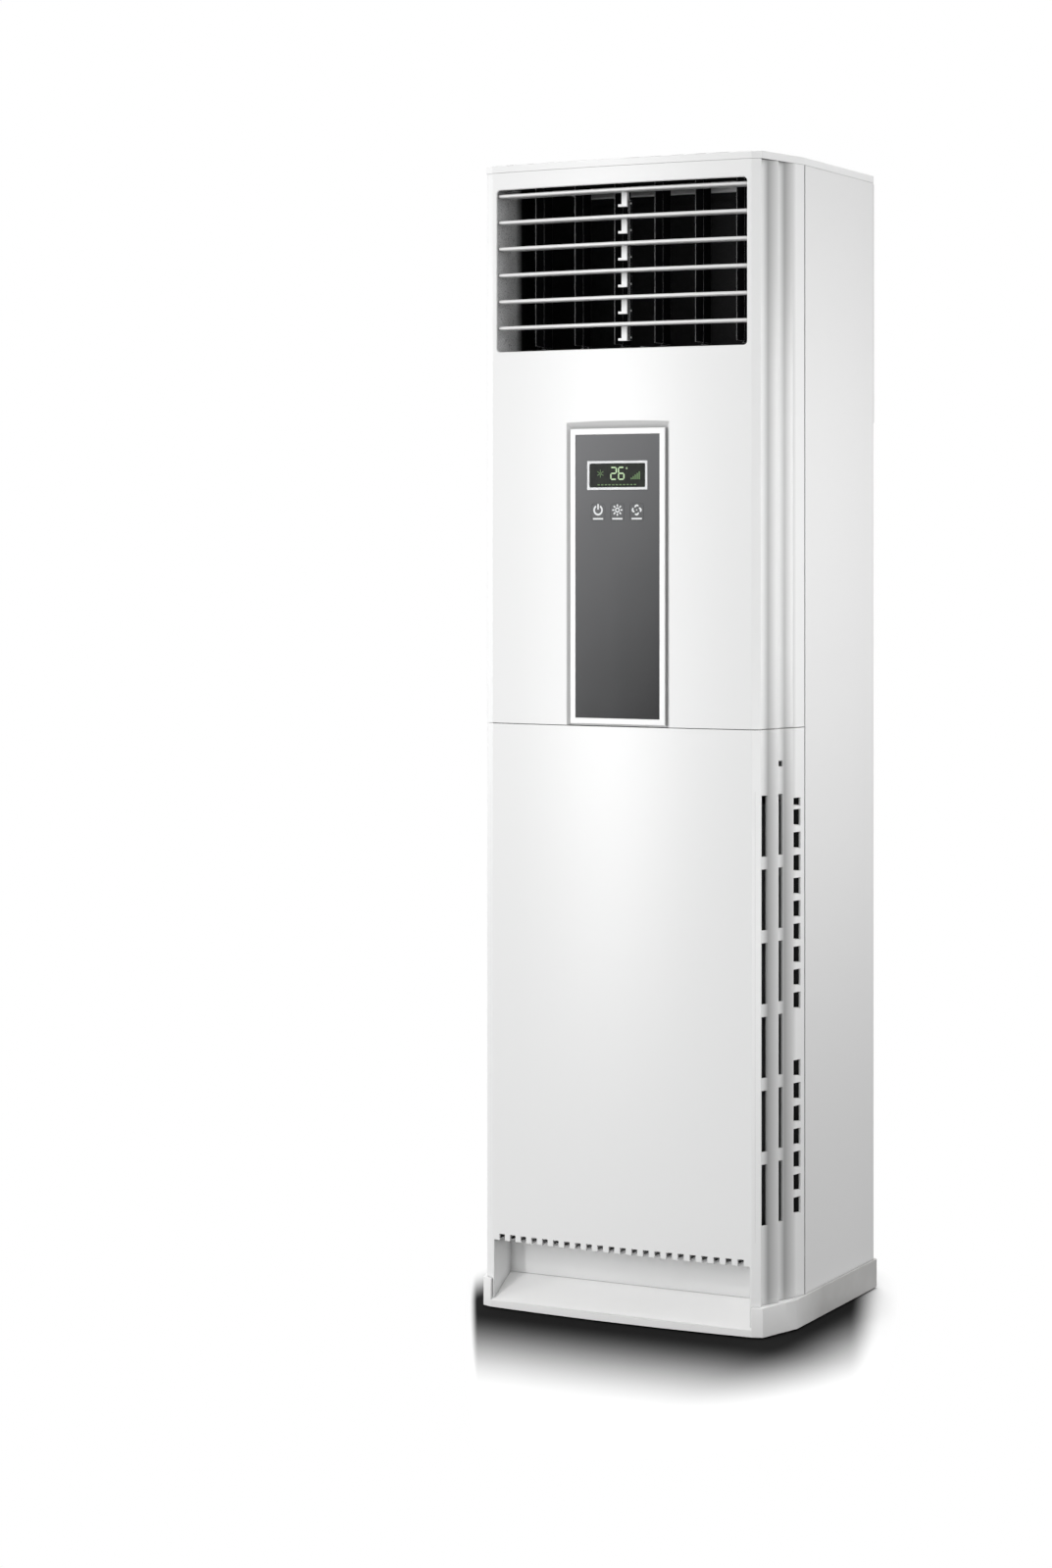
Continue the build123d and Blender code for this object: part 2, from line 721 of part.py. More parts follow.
def right_intake_grille():
    """Slotted column of the lower panel, with the filter's rear guide on its return."""
    body = upright(panel_ring(guide_inner), plinth_top + panel_lift, lower_top)
    body &= block(0, unit_width, column_joint_y + seat, seam_y, 0, unit_height)
    for cutter in column_openings():
        body -= cutter
    for x in guide_sides():
        rib_y0 = seam_y - skin - guide_reach
        body += block(x, x + guide_wall, rib_y0, seam_y - skin, filter_low - 3, filter_high + 20)
    shelf = (filter_inner - guide_gap, filter_inner + filter_thickness + guide_gap)
    rear = (seam_y - skin - guide_reach, seam_y - skin)
    return body + block(*shelf, *rear, filter_low - 3, filter_low - seat)


def guide_sides():
    """Low X of the two ribs that hold an edge of the right filter."""
    return (guide_inner, filter_inner + filter_thickness + guide_gap)


def intake_scoop():
    """Hood of the intake bay: side walls, back wall and the slotted ceiling."""
    outer_half = bay_half + scoop_wall
    hood = block(-outer_half, outer_half, front_y, bay_back_y + scoop_wall, 0, bay_top + scoop_wall)
    hood &= upright(panel_outline(False), 0, unit_height)
    hood -= block(-bay_half, bay_half, -unit_depth, bay_back_y, 0, bay_top)
    return hood


def lower_front_panel():
    """Lower front: bowed skin between the columns, with the intake hood at its foot."""
    front = panel_ring(0) & rectangle(-case_x, case_x, -unit_depth, column_joint_y)
    body = upright(front, plinth_top + panel_lift, lower_top)
    jambs = front & rectangle(-bay_half - scoop_wall, bay_half + scoop_wall, -unit_depth, 0)
    body += upright(jambs, bay_lip, plinth_top + panel_lift + 1)
    body -= block(-bay_half, bay_half, -unit_depth, bay_back_y, 0, bay_top)
    body += intake_scoop()
    outer_half = bay_half + scoop_wall
    body -= across(under_ramp(panel_lift, scoop_wall), -outer_half, outer_half)
    for i in range(comb_count):
        x = (i - (comb_count - 1) / 2) * comb_pitch
        y1 = bay_back_y - 8
        body -= block(x - comb_width / 2, x + comb_width / 2, -unit_depth, y1,
                      bay_top - 1, bay_top + comb_rise)
    lowest, highest = bay_top + rib_ends[0], lower_top - rib_ends[1]
    for i in range(rib_count):
        body += stiffening_rib(lowest + i * (highest - lowest) / (rib_count - 1), guide_sides()[0])
    for x in (-stud_x, stud_x):
        body += rod((x, bow_y(x, skin) - 1, stud_z), (0, 1, 0), stud_r + 3, 8)
        body += rod((x, bow_y(x, skin) - 1, stud_z), (0, 1, 0), stud_r, stud_length)
    for x in guide_sides():
        reach = filter_front_y + filter_grip
        guide = block(x, x + guide_wall, bow_y(x, skin) - 1.5, reach, filter_low - 3, filter_high + 20)
        body += [guide, mirror(guide, about=Plane.YZ)]
    return body


def right_filter():
    """Washable filter: a frame with cross bars and a thin sheet of mesh."""
    low_x, high_x = filter_inner, filter_inner + filter_thickness
    mid_x = (low_x + high_x) / 2
    area = (filter_front_y, filter_back_y, filter_low, filter_high)
    body = block(low_x, high_x, *area)
    width = 7.0
    rows = 6
    step = (filter_high - filter_low - width) / rows
    for row in range(rows):
        low = filter_low + width + row * step
        cell = (area[0] + width, area[1] - width, low, low + step - width)
        body -= block(low_x - 1, mid_x - 0.4, *cell)
        body -= block(mid_x + 0.4, high_x + 1, *cell)
    return body


# Air outlet
def behind_skin(inset):
    """Everything behind the surface that lies inset behind the front's outer one."""
    half = bow_half - 1
    arc = bow_arc(half, inset)
    return upright(make_face([arc, Polyline([arc @ 1, (half, 0), (-half, 0), arc @ 0])]),
                   duct_floor - 30, cover_z)


def outlet_duct():
    """Box duct behind the outlet, open at both ends, with a mounting frame at its back."""
    half = duct_half + duct_wall
    outer = rectangle(-half, half, duct_floor - duct_wall, duct_ceiling + duct_wall)
    frame = rectangle(-inner_x, inner_x, duct_floor - 12, case_top - 1)
    inner = rectangle(-duct_half, duct_half, duct_floor, duct_ceiling)
    body = facing(outer - inner, front_y, duct_back_y) & behind_skin(skin + seat)
    body += facing(frame - inner, duct_back_y - 3, duct_back_y)
    for z in louver_heights:
        body -= rod((-unit_width, louver_axis_y, z), (1, 0, 0), pivot_r + running, 2 * unit_width)
    for x in vane_places:
        body -= rod((x, vane_axis_y, 0), (0, 0, 1), pivot_r + running, unit_height)
    body -= rod((0, vane_axis_y, 0), (0, 0, 1), pivot_r + running, duct_floor + 1)
    return body


def louver(z):
    """Bowed blade with end pivots and, at its middle, the ear that takes the link."""
    local_front = front_y + skin + louver_relief
    upper = [
        (local_front, louver_front / 4), (local_front + louver_nose, louver_front / 2),
        (local_front + louver_chord, louver_rear / 2),
    ]
    half_outline = upper + [(y, -height) for y, height in reversed(upper)]
    section = make_face(Polyline([(0, y, z + height) for y, height in half_outline], close=True))
    bow_centre = Axis((0, front_y + bow_radius, z), (0, 0, 1))
    reach = 5.5
    blade = revolve(section.rotate(bow_centre, -reach), bow_centre, 2 * reach)
    blade &= block(-louver_half, louver_half, -unit_depth, 0, z - 20, z + 20)
    slot_x = (ear_width / 2 + link_gap - 1, ear_width / 2 + link_gap + link_thickness + 1)
    notch_front = louver_axis_y - ear_drop * tan(radians(louver_tilt)) - link_width / 2 - 1.8
    blade -= block(*slot_x, notch_front, 0, z - 20, z + 20)
    foot = z - ear_drop - link_end
    ear_y = (louver_axis_y - ear_depth / 2, louver_axis_y + ear_depth / 2)
    ear = block(-ear_width / 2, ear_width / 2, *ear_y, foot, z)
    ear += block(-ear_width / 2 - ear_foot, 0, *ear_y, foot, foot + 4)
    pin_reach = link_gap + link_thickness + 1
    pin = rod((0, louver_axis_y, z - ear_drop), (1, 0, 0), link_pin_r, ear_width / 2 + pin_reach)
    ends = [
        rod((side * (louver_half - 6), louver_axis_y, z), (side, 0, 0), pivot_r,
            duct_half + duct_wall - louver_half + 5)
        for side in (-1, 1)
    ]
    return blade + ear + pin + ends


def louver_link():
    """Upright bar that joins the louvers' ears, so that they tilt together."""
    low_x = ear_width / 2 + link_gap
    pins = [z - ear_drop for z in louver_heights]
    sides = (louver_axis_y - link_width / 2, louver_axis_y + link_width / 2)
    bar = block(low_x, low_x + link_thickness, *sides, pins[-1] - link_end, pins[0] + link_end)
    for z in pins:
        bar -= rod((0, louver_axis_y, z), (1, 0, 0), link_pin_r + running, 40)
    return bar


def swing_arm(x):
    """Arm that turns about a vane's axis, with the pin at its end that enters the link."""
    arm = SlotCenterToCenter(vane_arm, arm_width)
    arm = Pos(x, vane_axis_y + vane_arm / 2) * Rot(0, 0, 90) * arm
    body = upright(arm, arm_low, arm_low + arm_thickness)
    pin = rod((x, vane_axis_y + vane_arm, arm_low), (0, 0, -1), link_pin_r, arm_low - bar_low + 0.5)
    return body + pin


def vane(x):
    """Upright blade that steers the air sideways, on a shaft between floor and ceiling."""
    thick = vane_thickness / 2
    edge = thick / 2
    plan = make_face(Polyline([
        (x - edge, vane_axis_y - vane_front), (x + edge, vane_axis_y - vane_front),
        (x + thick, vane_axis_y), (x + edge, vane_axis_y + vane_back),
        (x - edge, vane_axis_y + vane_back), (x - thick, vane_axis_y),
    ], close=True))
    low = duct_floor - duct_wall
    blade = upright(plan, duct_floor + vane_lift, duct_ceiling - 3)
    shaft = rod((x, vane_axis_y, low), (0, 0, 1), pivot_r, duct_ceiling + duct_wall - low)
    return blade + shaft + swing_arm(x)


def vane_link():
    """Level bar that joins the vanes' arms and the motor's crank."""
    reach = vane_places[-1] + 8
    y = vane_axis_y + vane_arm
    top = bar_low + link_thickness
    bar = block(-reach, reach, y - arm_width / 2, y + arm_width / 2, bar_low, top)
    for x in vane_places + [0.0]:
        bar -= rod((x, y, bar_low - 5), (0, 0, 1), link_pin_r + running, 20)
    return bar


def swing_crank():
    """The swing motor's crank, whose shaft comes up through the duct's floor."""
    low = duct_floor - duct_wall - swing_can_height + 6
    return swing_arm(0.0) + rod((0, vane_axis_y, low), (0, 0, 1), pivot_r, arm_low - low)


def swing_motor():
    """Small geared motor under the duct's floor, held by two ears."""
    top = duct_floor - duct_wall - seat
    can = rod((0, vane_axis_y, top), (0, 0, -1), swing_can_r, swing_can_height)
    ears = Pos(0, vane_axis_y) * SlotCenterToCenter(2 * swing_ear_x, swing_ear_width)
    body = can + upright(ears, top - swing_ear_sheet, top)
    body -= rod((0, vane_axis_y, top + 1), (0, 0, -1), pivot_r + running, swing_can_height - 4)
    for x in (-swing_ear_x, swing_ear_x):
        body -= rod((x, vane_axis_y, top + 1), (0, 0, -1), swing_screw_r, 5)
    return body


# Display
def display_bezel():
    """White frame around the display, with a back that the plate rests on."""
    back_y1 = pocket_floor_y - seat
    rear_y = plate_y + plate_thickness + seat
    outer = rectangle(-bezel_half, bezel_half, bezel_low, bezel_high)
    low, high = bezel_low + bezel_border, bezel_high - bezel_border
    body = facing(outer, front_y + 0.2, back_y1)
    body = fillet(body.faces().sort_by(Axis.Y)[0].edges(), 1.0)
    body -= facing(rectangle(-plate_half, plate_half, low, high), front_y - 1, rear_y)
    opening = rectangle(-board_half, board_half, board_low, board_high)
    return body - facing(opening, rear_y - 1, back_y1 + 1)


def display_plate():
    """Dark plate in the bezel, cut out for the screen and the buttons."""
    half = plate_half - seat
    low, high = bezel_low + bezel_border + seat, bezel_high - bezel_border - seat
    body = facing(rectangle(-half, half, low, high), plate_y, plate_y + plate_thickness)
    grow = seat
    screen_half = screen_size[0] / 2 + grow
    screen = rectangle(-screen_half, screen_half, screen_high - screen_size[1] - grow, screen_high + grow)
    body -= facing(screen, front_y - 5, pocket_floor_y)
    for x in (-button_pitch, 0, button_pitch):
        body -= facing(button_face(x, button_gap), front_y - 5, pocket_floor_y)
    return body


def button_face(x, grow=0.0):
    """Rounded outline of a button at x, grown by grow."""
    size = (button_size[0] + 2 * grow, button_size[1] + 2 * grow)
    return Pos(x, button_mid) * RectangleRounded(*size, 4 + grow)


def button(x):
    """Push button: a cap in the plate with a stem that reaches its switch."""
    stem_end = pocket_floor_y + skin + seat - button_travel - 0.4
    cap = facing(button_face(x), plate_y, plate_y + plate_thickness)
    return cap + rod((x, plate_y + 1, button_mid), (0, 1, 0), 3.0, stem_end - plate_y - 1)


def lcd_frame():
    """Bright frame round the screen."""
    half = screen_size[0] / 2
    low = screen_high - screen_size[1]
    outer = rectangle(-half, half, low, screen_high)
    inner = Pos(0, screen_mid) * RectangleRounded(
        screen_size[0] - 2 * screen_border, screen_size[1] - 2 * screen_border, 2)
    return facing(outer - inner, plate_y - 0.6, plate_y + plate_thickness)


def lcd_window():
    """The screen: a glass front on the display module's body."""
    size = (screen_size[0] - 2 * screen_border - 2 * seat, screen_size[1] - 2 * screen_border - 2 * seat)
    area = Pos(0, screen_mid) * RectangleRounded(*size, 1.7)
    return facing(area, plate_y, pocket_floor_y + skin)


def display_board():
    """Circuit board behind the pocket's floor, with a switch behind each button."""
    low_y = pocket_floor_y + skin + seat
    edge = board_margin
    outline = rectangle(-board_half - edge, board_half + edge, board_low - edge, board_high + edge)
    body = facing(outline, low_y, low_y + board_thickness)
    plug = rectangle(-12, 12, screen_mid - 5, screen_mid + 5)
    return body + facing(plug, low_y + board_thickness, low_y + board_thickness + 5)


# Structure inside
def mid_partition():
    """Floor between the blower and the coil, with the scroll's mouth and the pipes' hole."""
    rear = rear_face_y - sheet - seat
    narrow = rectangle(-front_half, front_half, rail_y - seat, 0)
    wide = rectangle(-inner_x, inner_x, seam_y + side_seam + sheet + seat, rear)
    plan = narrow + rounded_at(wide, [(inner_x, rear)], back_corner)
    plan -= rectangle(neck_left(), scroll_right(), scroll_front_y + 2, scroll_back_y - 2)
    for x in (suction_x, liquid_x):
        plan -= Pos(x, riser_y) * Circle(suction_r + 4)
    plan -= Pos(drain_x, pan_y) * Circle(tube_r + 2)
    body = upright(plan, partition_low, partition_high)
    rib_half = inner_x - partition_rib_end
    rib_y = scroll_front_y - partition_rib_ahead
    rib = block(-rib_half, rib_half, rib_y, rib_y + partition_rib_sheet,
                partition_high - 1, partition_high + partition_rib_height)
    return body + rib


def front_rail():
    """Channel across the front, behind the joint between the panels."""
    low, high = partition_high + seat, partition_high + seat + rail_height
    back = rail_y + rail_depth
    section = [(rail_y, low), (back, low), (back, low + rail_sheet),
               (rail_y + rail_sheet, low + rail_sheet), (rail_y + rail_sheet, high - rail_sheet),
               (back, high - rail_sheet), (back, high), (rail_y, high)]
    body = across(section, -front_half, front_half)
    for x in (-stud_x, stud_x):
        body -= rod((x, rail_y - 1, stud_z), (0, 1, 0), stud_r + running, 10)
    return body


def coil_plane():
    """Plane of the coil: origin at its lower edge, y up the slope, z towards the front."""
    low = (front_y + coil_low[0], partition_high + coil_low[1])
    rise = (back_y - coil_high[0] - low[0], duct_floor - coil_high[1] - low[1])
    length = hypot(*rise)
    normal = (0, -rise[1] / length, rise[0] / length)
    return Plane(origin=(0, *low), x_dir=(1, 0, 0), z_dir=normal), length


def pan_half():
    """Half the drain pan's width: it reaches past the return bends."""
    bends = coil_half + 2 * seat + end_plate_sheet + bend_stub + bend_r + tube_r
    return bends + pan_gap


def pan_floor():
    """Height of the drain pan's floor, just under the coil's lowest corner."""
    plane, length = coil_plane()
    corner = plane.from_local_coords(
        (0, -end_plate_border, -coil_thickness / 2 - end_plate_border))
    return corner.Z - seat


def drain_pan():
    """Tray under the coil, on two runners, with a spout down through the partition."""
    floor = pan_floor()
    half = pan_half()
    low, high = pan_y - pan_reach, pan_y + pan_reach
    body = block(-half, half, low, high, floor - pan_wall, floor + pan_height)
    body -= block(-half + pan_wall, half - pan_wall, low + pan_wall, high - pan_wall,
                  floor, floor + pan_height + 1)
    for y in (low + runner_inset, high - runner_inset - pan_wall):
        runner = (y, y + pan_wall, partition_high + seat, floor - 1)
        body += block(-front_half, front_half, *runner)
    spout_low = partition_low - drain_drop
    body += rod((drain_x, pan_y, spout_low), (0, 0, 1), tube_r, floor - pan_wall / 2 - spout_low)
    return body - rod((drain_x, pan_y, spout_low - 1), (0, 0, 1), tube_r - drain_wall, floor)


def coil_fins():
    """Pack of fins, drawn thicker and fewer than they are, joined along the coil's rear face."""
    plane, length = coil_plane()
    body = Pos(0, length / 2, 0) * Box(2 * coil_half, length, coil_thickness)
    depth = coil_thickness - fin_web
    for i in range(fin_gap_count):
        x = ((i + 0.5) / fin_gap_count - 0.5) * 2 * coil_half
        body -= Pos(x, length / 2, fin_web / 2) * Box(fin_gap, length + 1, depth + 0.001)
    return plane * body


def coil_end_plates():
    """Sheet at each end of the fins, whose lower corner stands in the drain pan."""
    plane, length = coil_plane()
    size = (end_plate_sheet, length + 2 * end_plate_border, coil_thickness + 2 * end_plate_border)
    place = coil_half + seat + end_plate_sheet / 2
    plates = [plane * Pos(side * place, length / 2, 0) * Box(*size) for side in (-1, 1)]
    return Compound(children=plates)


def coil_tubes():
    """Return bends at both ends of the coil, with flats in place of the rounds."""
    plane, length = coil_plane()
    reach = coil_half + 2 * seat + end_plate_sheet
    section = RegularPolygon(tube_r, 8)
    corner = bend_r * tan(radians(22.5))
    half_turn = [(0, -bend_r), (bend_stub + corner, -bend_r), (bend_stub + bend_r, -corner)]
    turn = half_turn + [(out, -up) for out, up in reversed(half_turn)]
    bends = []
    for side in (-1, 1):
        for i in range(bend_count):
            middle = length * (i + 0.5 + 0.25 * side) / bend_count
            path = Polyline([(side * (reach + out), middle + up, 0) for out, up in turn])
            start = Plane(origin=path @ 0, z_dir=(side, 0, 0))
            bends.append(plane * sweep(start * section, path=path, transition=Transition.RIGHT))
    return Compound(children=bends)


def riser(x, radius, share, low):
    """Pipe from the coil's end, down the back corner, to the flare nut at its foot.

    It has eight flats in place of the round.
    """
    plane, length = coil_plane()
    start_x = coil_half + 2 * seat + end_plate_sheet
    start = plane.from_local_coords((start_x, length * share, -coil_thickness * 0.4))
    level = partition_high + pipe_level + (suction_x - x)
    points = [start, (x, start.Y, start.Z), (x, start.Y, level), (x, riser_y, level),
              (x, riser_y, low)]
    bend = min(pipe_bend, (x - start_x) * 0.9)
    path = FilletPolyline(*points, radius=bend)
    pipe = sweep(Plane(origin=start, z_dir=(1, 0, 0)) * RegularPolygon(radius, 8), path=path)
    nut_r, nut_height = radius * flare_nut[0], flare_nut[1]
    nut = Pos(x, riser_y, low - nut_height) * extrude(RegularPolygon(nut_r, 6), nut_height)
    return pipe + nut


def duct_insulation():
    """Foam sheet on the inside of the rear panel, above the partition."""
    face_y = rear_face_y - sheet - seat
    half = inner_x - foam_side
    area = rectangle(-half, half, partition_high + foam_rise, duct_ceiling)
    return facing(area, face_y - foam_thickness, face_y)


# Blower
def scroll_area():
    """Elevation of the scroll's air space: spiral in quarter turns, and the neck above it."""
    radius = wheel_r + scroll_gap
    centre = Vector(0, fan_height)
    arcs = []
    for quarter in range(3):
        start = 90 + 90 * quarter
        if quarter:
            centre -= Vector(cos(radians(start)), sin(radians(start))) * scroll_growth
        arcs.append(CenterArc(centre, radius + quarter * scroll_growth, start, 90))
    top = partition_low - seat
    tongue = arcs[0] @ 0
    right = arcs[-1] @ 1
    neck = Polyline(right, (right.X, top), (neck_left(), top), tongue)
    return make_face(arcs + [neck])


def neck_left():
    """X of the neck's leaning wall where it meets the partition."""
    return -neck_reach


def scroll_right():
    """X of the neck's upright wall."""
    return wheel_r + scroll_gap + 3 * scroll_growth


def fan_scroll():
    """Scroll wall on a full-height back plate that stands on the plinth."""
    area = scroll_area()
    wall = offset(area, skin, kind=Kind.INTERSECTION) - area
    top = partition_low - seat
    body = facing(wall, scroll_front_y, scroll_back_y)
    body &= block(-unit_width, unit_width, -back_y, back_y, 0, top)
    plate_half = scroll_right() + 5
    plate = rectangle(-plate_half, plate_half, case_low, top)
    body += facing(plate, scroll_back_y, scroll_back_y + skin)
    body -= rod((0, 0, fan_height), (0, 1, 0), hub_r + scroll_hole, back_y)
    base = (scroll_back_y - scroll_foot, scroll_back_y + 0.5)
    for x in (-plate_half, plate_half - skin):
        body += block(x, x + skin, *base, case_low, fan_height - wheel_r - 40)
    return body


def bell_mouth():
    """Front plate of the scroll with the flared throat that leads air into the wheel."""
    plate_y1 = scroll_front_y - seat
    throat = blade_inner_r - throat_gap
    mouth = throat + throat_flare
    plate = facing(offset(scroll_area(), skin, kind=Kind.INTERSECTION), plate_y1 - skin, plate_y1)
    plate &= block(-unit_width, unit_width, -back_y, back_y, 0, partition_low - seat)
    plate -= rod((0, -back_y, fan_height), (0, 1, 0), mouth - 1, 2 * unit_depth)
    start_y = plate_y1 - skin
    end_y = start_y + throat_flare
    step = throat_flare / 4
    outer = throat + throat_wall
    near = [(mouth, start_y), (throat + step, start_y + step), (throat, end_y)]
    far = [(outer, end_y), (outer + step, start_y + 2 * step), (mouth, start_y + skin)]
    lip = make_face(Polyline(near + far, close=True))
    return plate + Pos(0, 0, fan_height) * revolve(lip, Axis.Y)


def blower_wheel():
    """Wheel with forward-curved blades, each of two flats, between a back disc and a front ring."""
    front = wheel_back_y - wheel_width
    start = Vector(blade_inner_r, 0)
    end = Vector(wheel_r - 0.5, 0).rotate(Axis.Z, blade_lead)
    curve = RadiusArc(start, end, blade_bend)
    hollow_side = [curve @ share for share in (0, 0.5, 1)]
    full_side = [point + (0, blade_sheet) for point in reversed(hollow_side)]
    blade = make_face(Polyline(hollow_side + full_side, close=True))
    blades = [Rot(0, 0, 360 * i / blade_count) * blade for i in range(blade_count)]
    rear = wheel_back_y - skin
    rings = Circle(wheel_r) - Circle(wheel_r - ring_width)
    centre = Pos(0, fan_height)
    wheel = facing(centre * Circle(wheel_r), rear, wheel_back_y)
    wheel += facing(centre * rings, front, front + ring_depth)
    wheel += [facing(centre * face, front + 1, rear + 1) for face in blades]
    hub = Pos(0, fan_height) * Circle(hub_r)
    wheel += facing(hub, rear - hub_length, wheel_back_y)
    return wheel - rod((0, 0, fan_height), (0, 1, 0), shaft_r + 0.05, back_y)


def motor_shaft():
    """Shaft that carries the wheel on the motor."""
    start_y = wheel_back_y - skin - hub_length - shaft_ahead
    length = scroll_back_y + skin + motor_length - shaft_end - start_y
    return rod((0, start_y, fan_height), (0, 1, 0), shaft_r, length)


def fan_motor():
    """Motor bolted to the back of the scroll, with a ring of cooling slots."""
    face_y = scroll_back_y + skin + seat
    body = rod((0, face_y, fan_height), (0, 1, 0), motor_r, motor_length)
    body = chamfer(body.faces().sort_by(Axis.Y)[-1].edges(), motor_chamfer)
    length, width, thickness = motor_ear
    for i in range(4):
        place = Pos(0, fan_height) * Rot(0, 0, 45 + 90 * i) * Pos(motor_r, 0)
        body += facing(place * SlotOverall(length, width), face_y, face_y + thickness)
    body -= rod((0, face_y - 1, fan_height), (0, 1, 0), shaft_r + running, motor_length - 4)
    return body


def fan_capacitor():
    """Motor's capacitor, clipped to the scroll's back plate."""
    face_y = scroll_back_y + skin + seat
    width, height, depth = capacitor_size
    place = (wheel_r + 20, fan_height - wheel_r - 30)
    return facing(Pos(*place) * RectangleRounded(width, height, 6), face_y, face_y + depth)


# Control box
def box_range():
    """Corners of the control box."""
    width, depth, height = control_box_size
    top = partition_low - seat
    return (box_x, box_x + width), (box_y, box_y + depth), (top - height, top)


def control_box():
    """Open-fronted box under the partition, with a cable hole in its floor."""
    (x0, x1), (y0, y1), (z0, z1) = box_range()
    body = block(x0, x1, y0, y1, z0, z1)
    body -= block(x0 + box_wall, x1 - box_wall, y0 - 1, y1 - box_wall, z0 + box_wall, z1 - box_wall)
    hole_middle = (x0 + box_hole_inset, y0 + box_hole_inset, z0 - 5)
    return body - rod(hole_middle, (0, 0, 1), box_hole_r, 20)


def control_box_cover():
    """Lid of the control box, with vents near its foot."""
    (x0, x1), (y0, y1), (z0, z1) = box_range()
    face = rectangle(x0, x1, z0, z1)
    body = facing(face, y0 - seat - box_wall, y0 - seat)
    for i in range(vent_count):
        middle = Pos((x0 + x1) / 2, z0 + vent_first + i * vent_pitch)
        body -= facing(middle * SlotOverall(0.6 * (x1 - x0), vent_width), y0 - 10, y0)
    return body


def circuit_board():
    """Main board on the box's back wall, with its transformer and relays."""
    (x0, x1), (y0, y1), (z0, z1) = box_range()
    low_y = y1 - box_wall - seat - board_thickness
    left, low, high = x0 + main_board_edge, z0 + main_board_rise, z1 - main_board_edge
    body = facing(rectangle(left, x1 - main_board_edge, low, high), low_y, low_y + board_thickness)
    x = left + part_inset
    for width, depth, height in [transformer_size] + relay_count * [relay_size]:
        middle = (low + high) / 2
        body += block(x, x + width, low_y - depth, low_y + 0.5, middle - height / 2, middle + height / 2)
        x += width + relay_gap
    return body


def terminal_block():
    """Row of terminals under the board."""
    (x0, x1), (y0, y1), (z0, z1) = box_range()
    width, depth, height = terminal_size
    left, low = x0 + terminal_side, z0 + terminal_rise
    back = y1 - box_wall - seat
    body = block(left, left + width, back - depth, back, low, low + height)
    pitch = (width - terminal_rib) / terminal_count
    for i in range(terminal_count):
        x = left + terminal_rib + i * pitch
        body -= block(x, x + pitch - terminal_rib, back - depth - 1, back - depth + terminal_depth,
                      low + terminal_rim, low + height - terminal_rim)
    return body


# The pieces, each under its own name
def mirrored(solid):
    """The same piece for the other side."""
    return mirror(solid, about=Plane.YZ)


pieces = {
    "base_plinth": base_plinth(),
    "rubber_feet": rubber_feet(),
    "right_side_panel": side_panel(),
    "left_side_panel": mirrored(side_panel()),
    "rear_panel": rear_panel(),
    "pipe_grommet": pipe_grommet(),
    "cord_gland": cord_gland(),
    "wall_bracket": wall_bracket(),
    "top_cover": top_cover(),
    "upper_front_panel": upper_front_panel(),
    "lower_front_panel": lower_front_panel(),
    "right_intake_grille": right_intake_grille(),
    "left_intake_grille": mirrored(right_intake_grille()),
    "right_filter": right_filter(),
    "left_filter": mirrored(right_filter()),
    "outlet_duct": outlet_duct(),
    "louver_link": louver_link(),
    "vane_link": vane_link(),
    "swing_crank": swing_crank(),
    "swing_motor": swing_motor(),
    "display_bezel": display_bezel(),
    "display_plate": display_plate(),
    "lcd_frame": lcd_frame(),
    "lcd_window": lcd_window(),
    "display_board": display_board(),
    "power_button": button(-button_pitch),
    "mode_button": button(0.0),
    "fan_button": button(button_pitch),
    "mid_partition": mid_partition(),
    "front_rail": front_rail(),
    "drain_pan": drain_pan(),
    "coil_fins": coil_fins(),
    "coil_end_plates": coil_end_plates(),
    "coil_tubes": coil_tubes(),
    "suction_pipe": riser(suction_x, suction_r, riser_shares[0], riser_low),
    "liquid_pipe": riser(liquid_x, tube_r, riser_shares[1], riser_low + riser_stagger),
    "duct_insulation": duct_insulation(),
    "fan_scroll": fan_scroll(),
    "bell_mouth": bell_mouth(),
    "blower_wheel": blower_wheel(),
    "motor_shaft": motor_shaft(),
    "fan_motor": fan_motor(),
    "fan_capacitor": fan_capacitor(),
    "control_box": control_box(),
    "control_box_cover": control_box_cover(),
    "circuit_board": circuit_board(),
    "terminal_block": terminal_block(),
}
for number, height in enumerate(louver_heights, 1):
    pieces[f"louver_{number}"] = louver(height)
for number, place in enumerate(vane_places, 1):
    pieces[f"vane_{number}"] = vane(place)

for name, piece in pieces.items():
    export_step(piece, f"parts/{name}.step")
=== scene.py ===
# %% [markdown]
# # A floor standing air conditioner, dressed for its picture
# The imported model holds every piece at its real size. This lesson gives those pieces
# their finishes, adds the small things that only show from close by, and sets up a
# studio with the camera where the photographer stood.

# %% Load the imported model
import bpy
import bmesh
import json
from math import cos, pi, radians, sin
from mathutils import Matrix, Vector


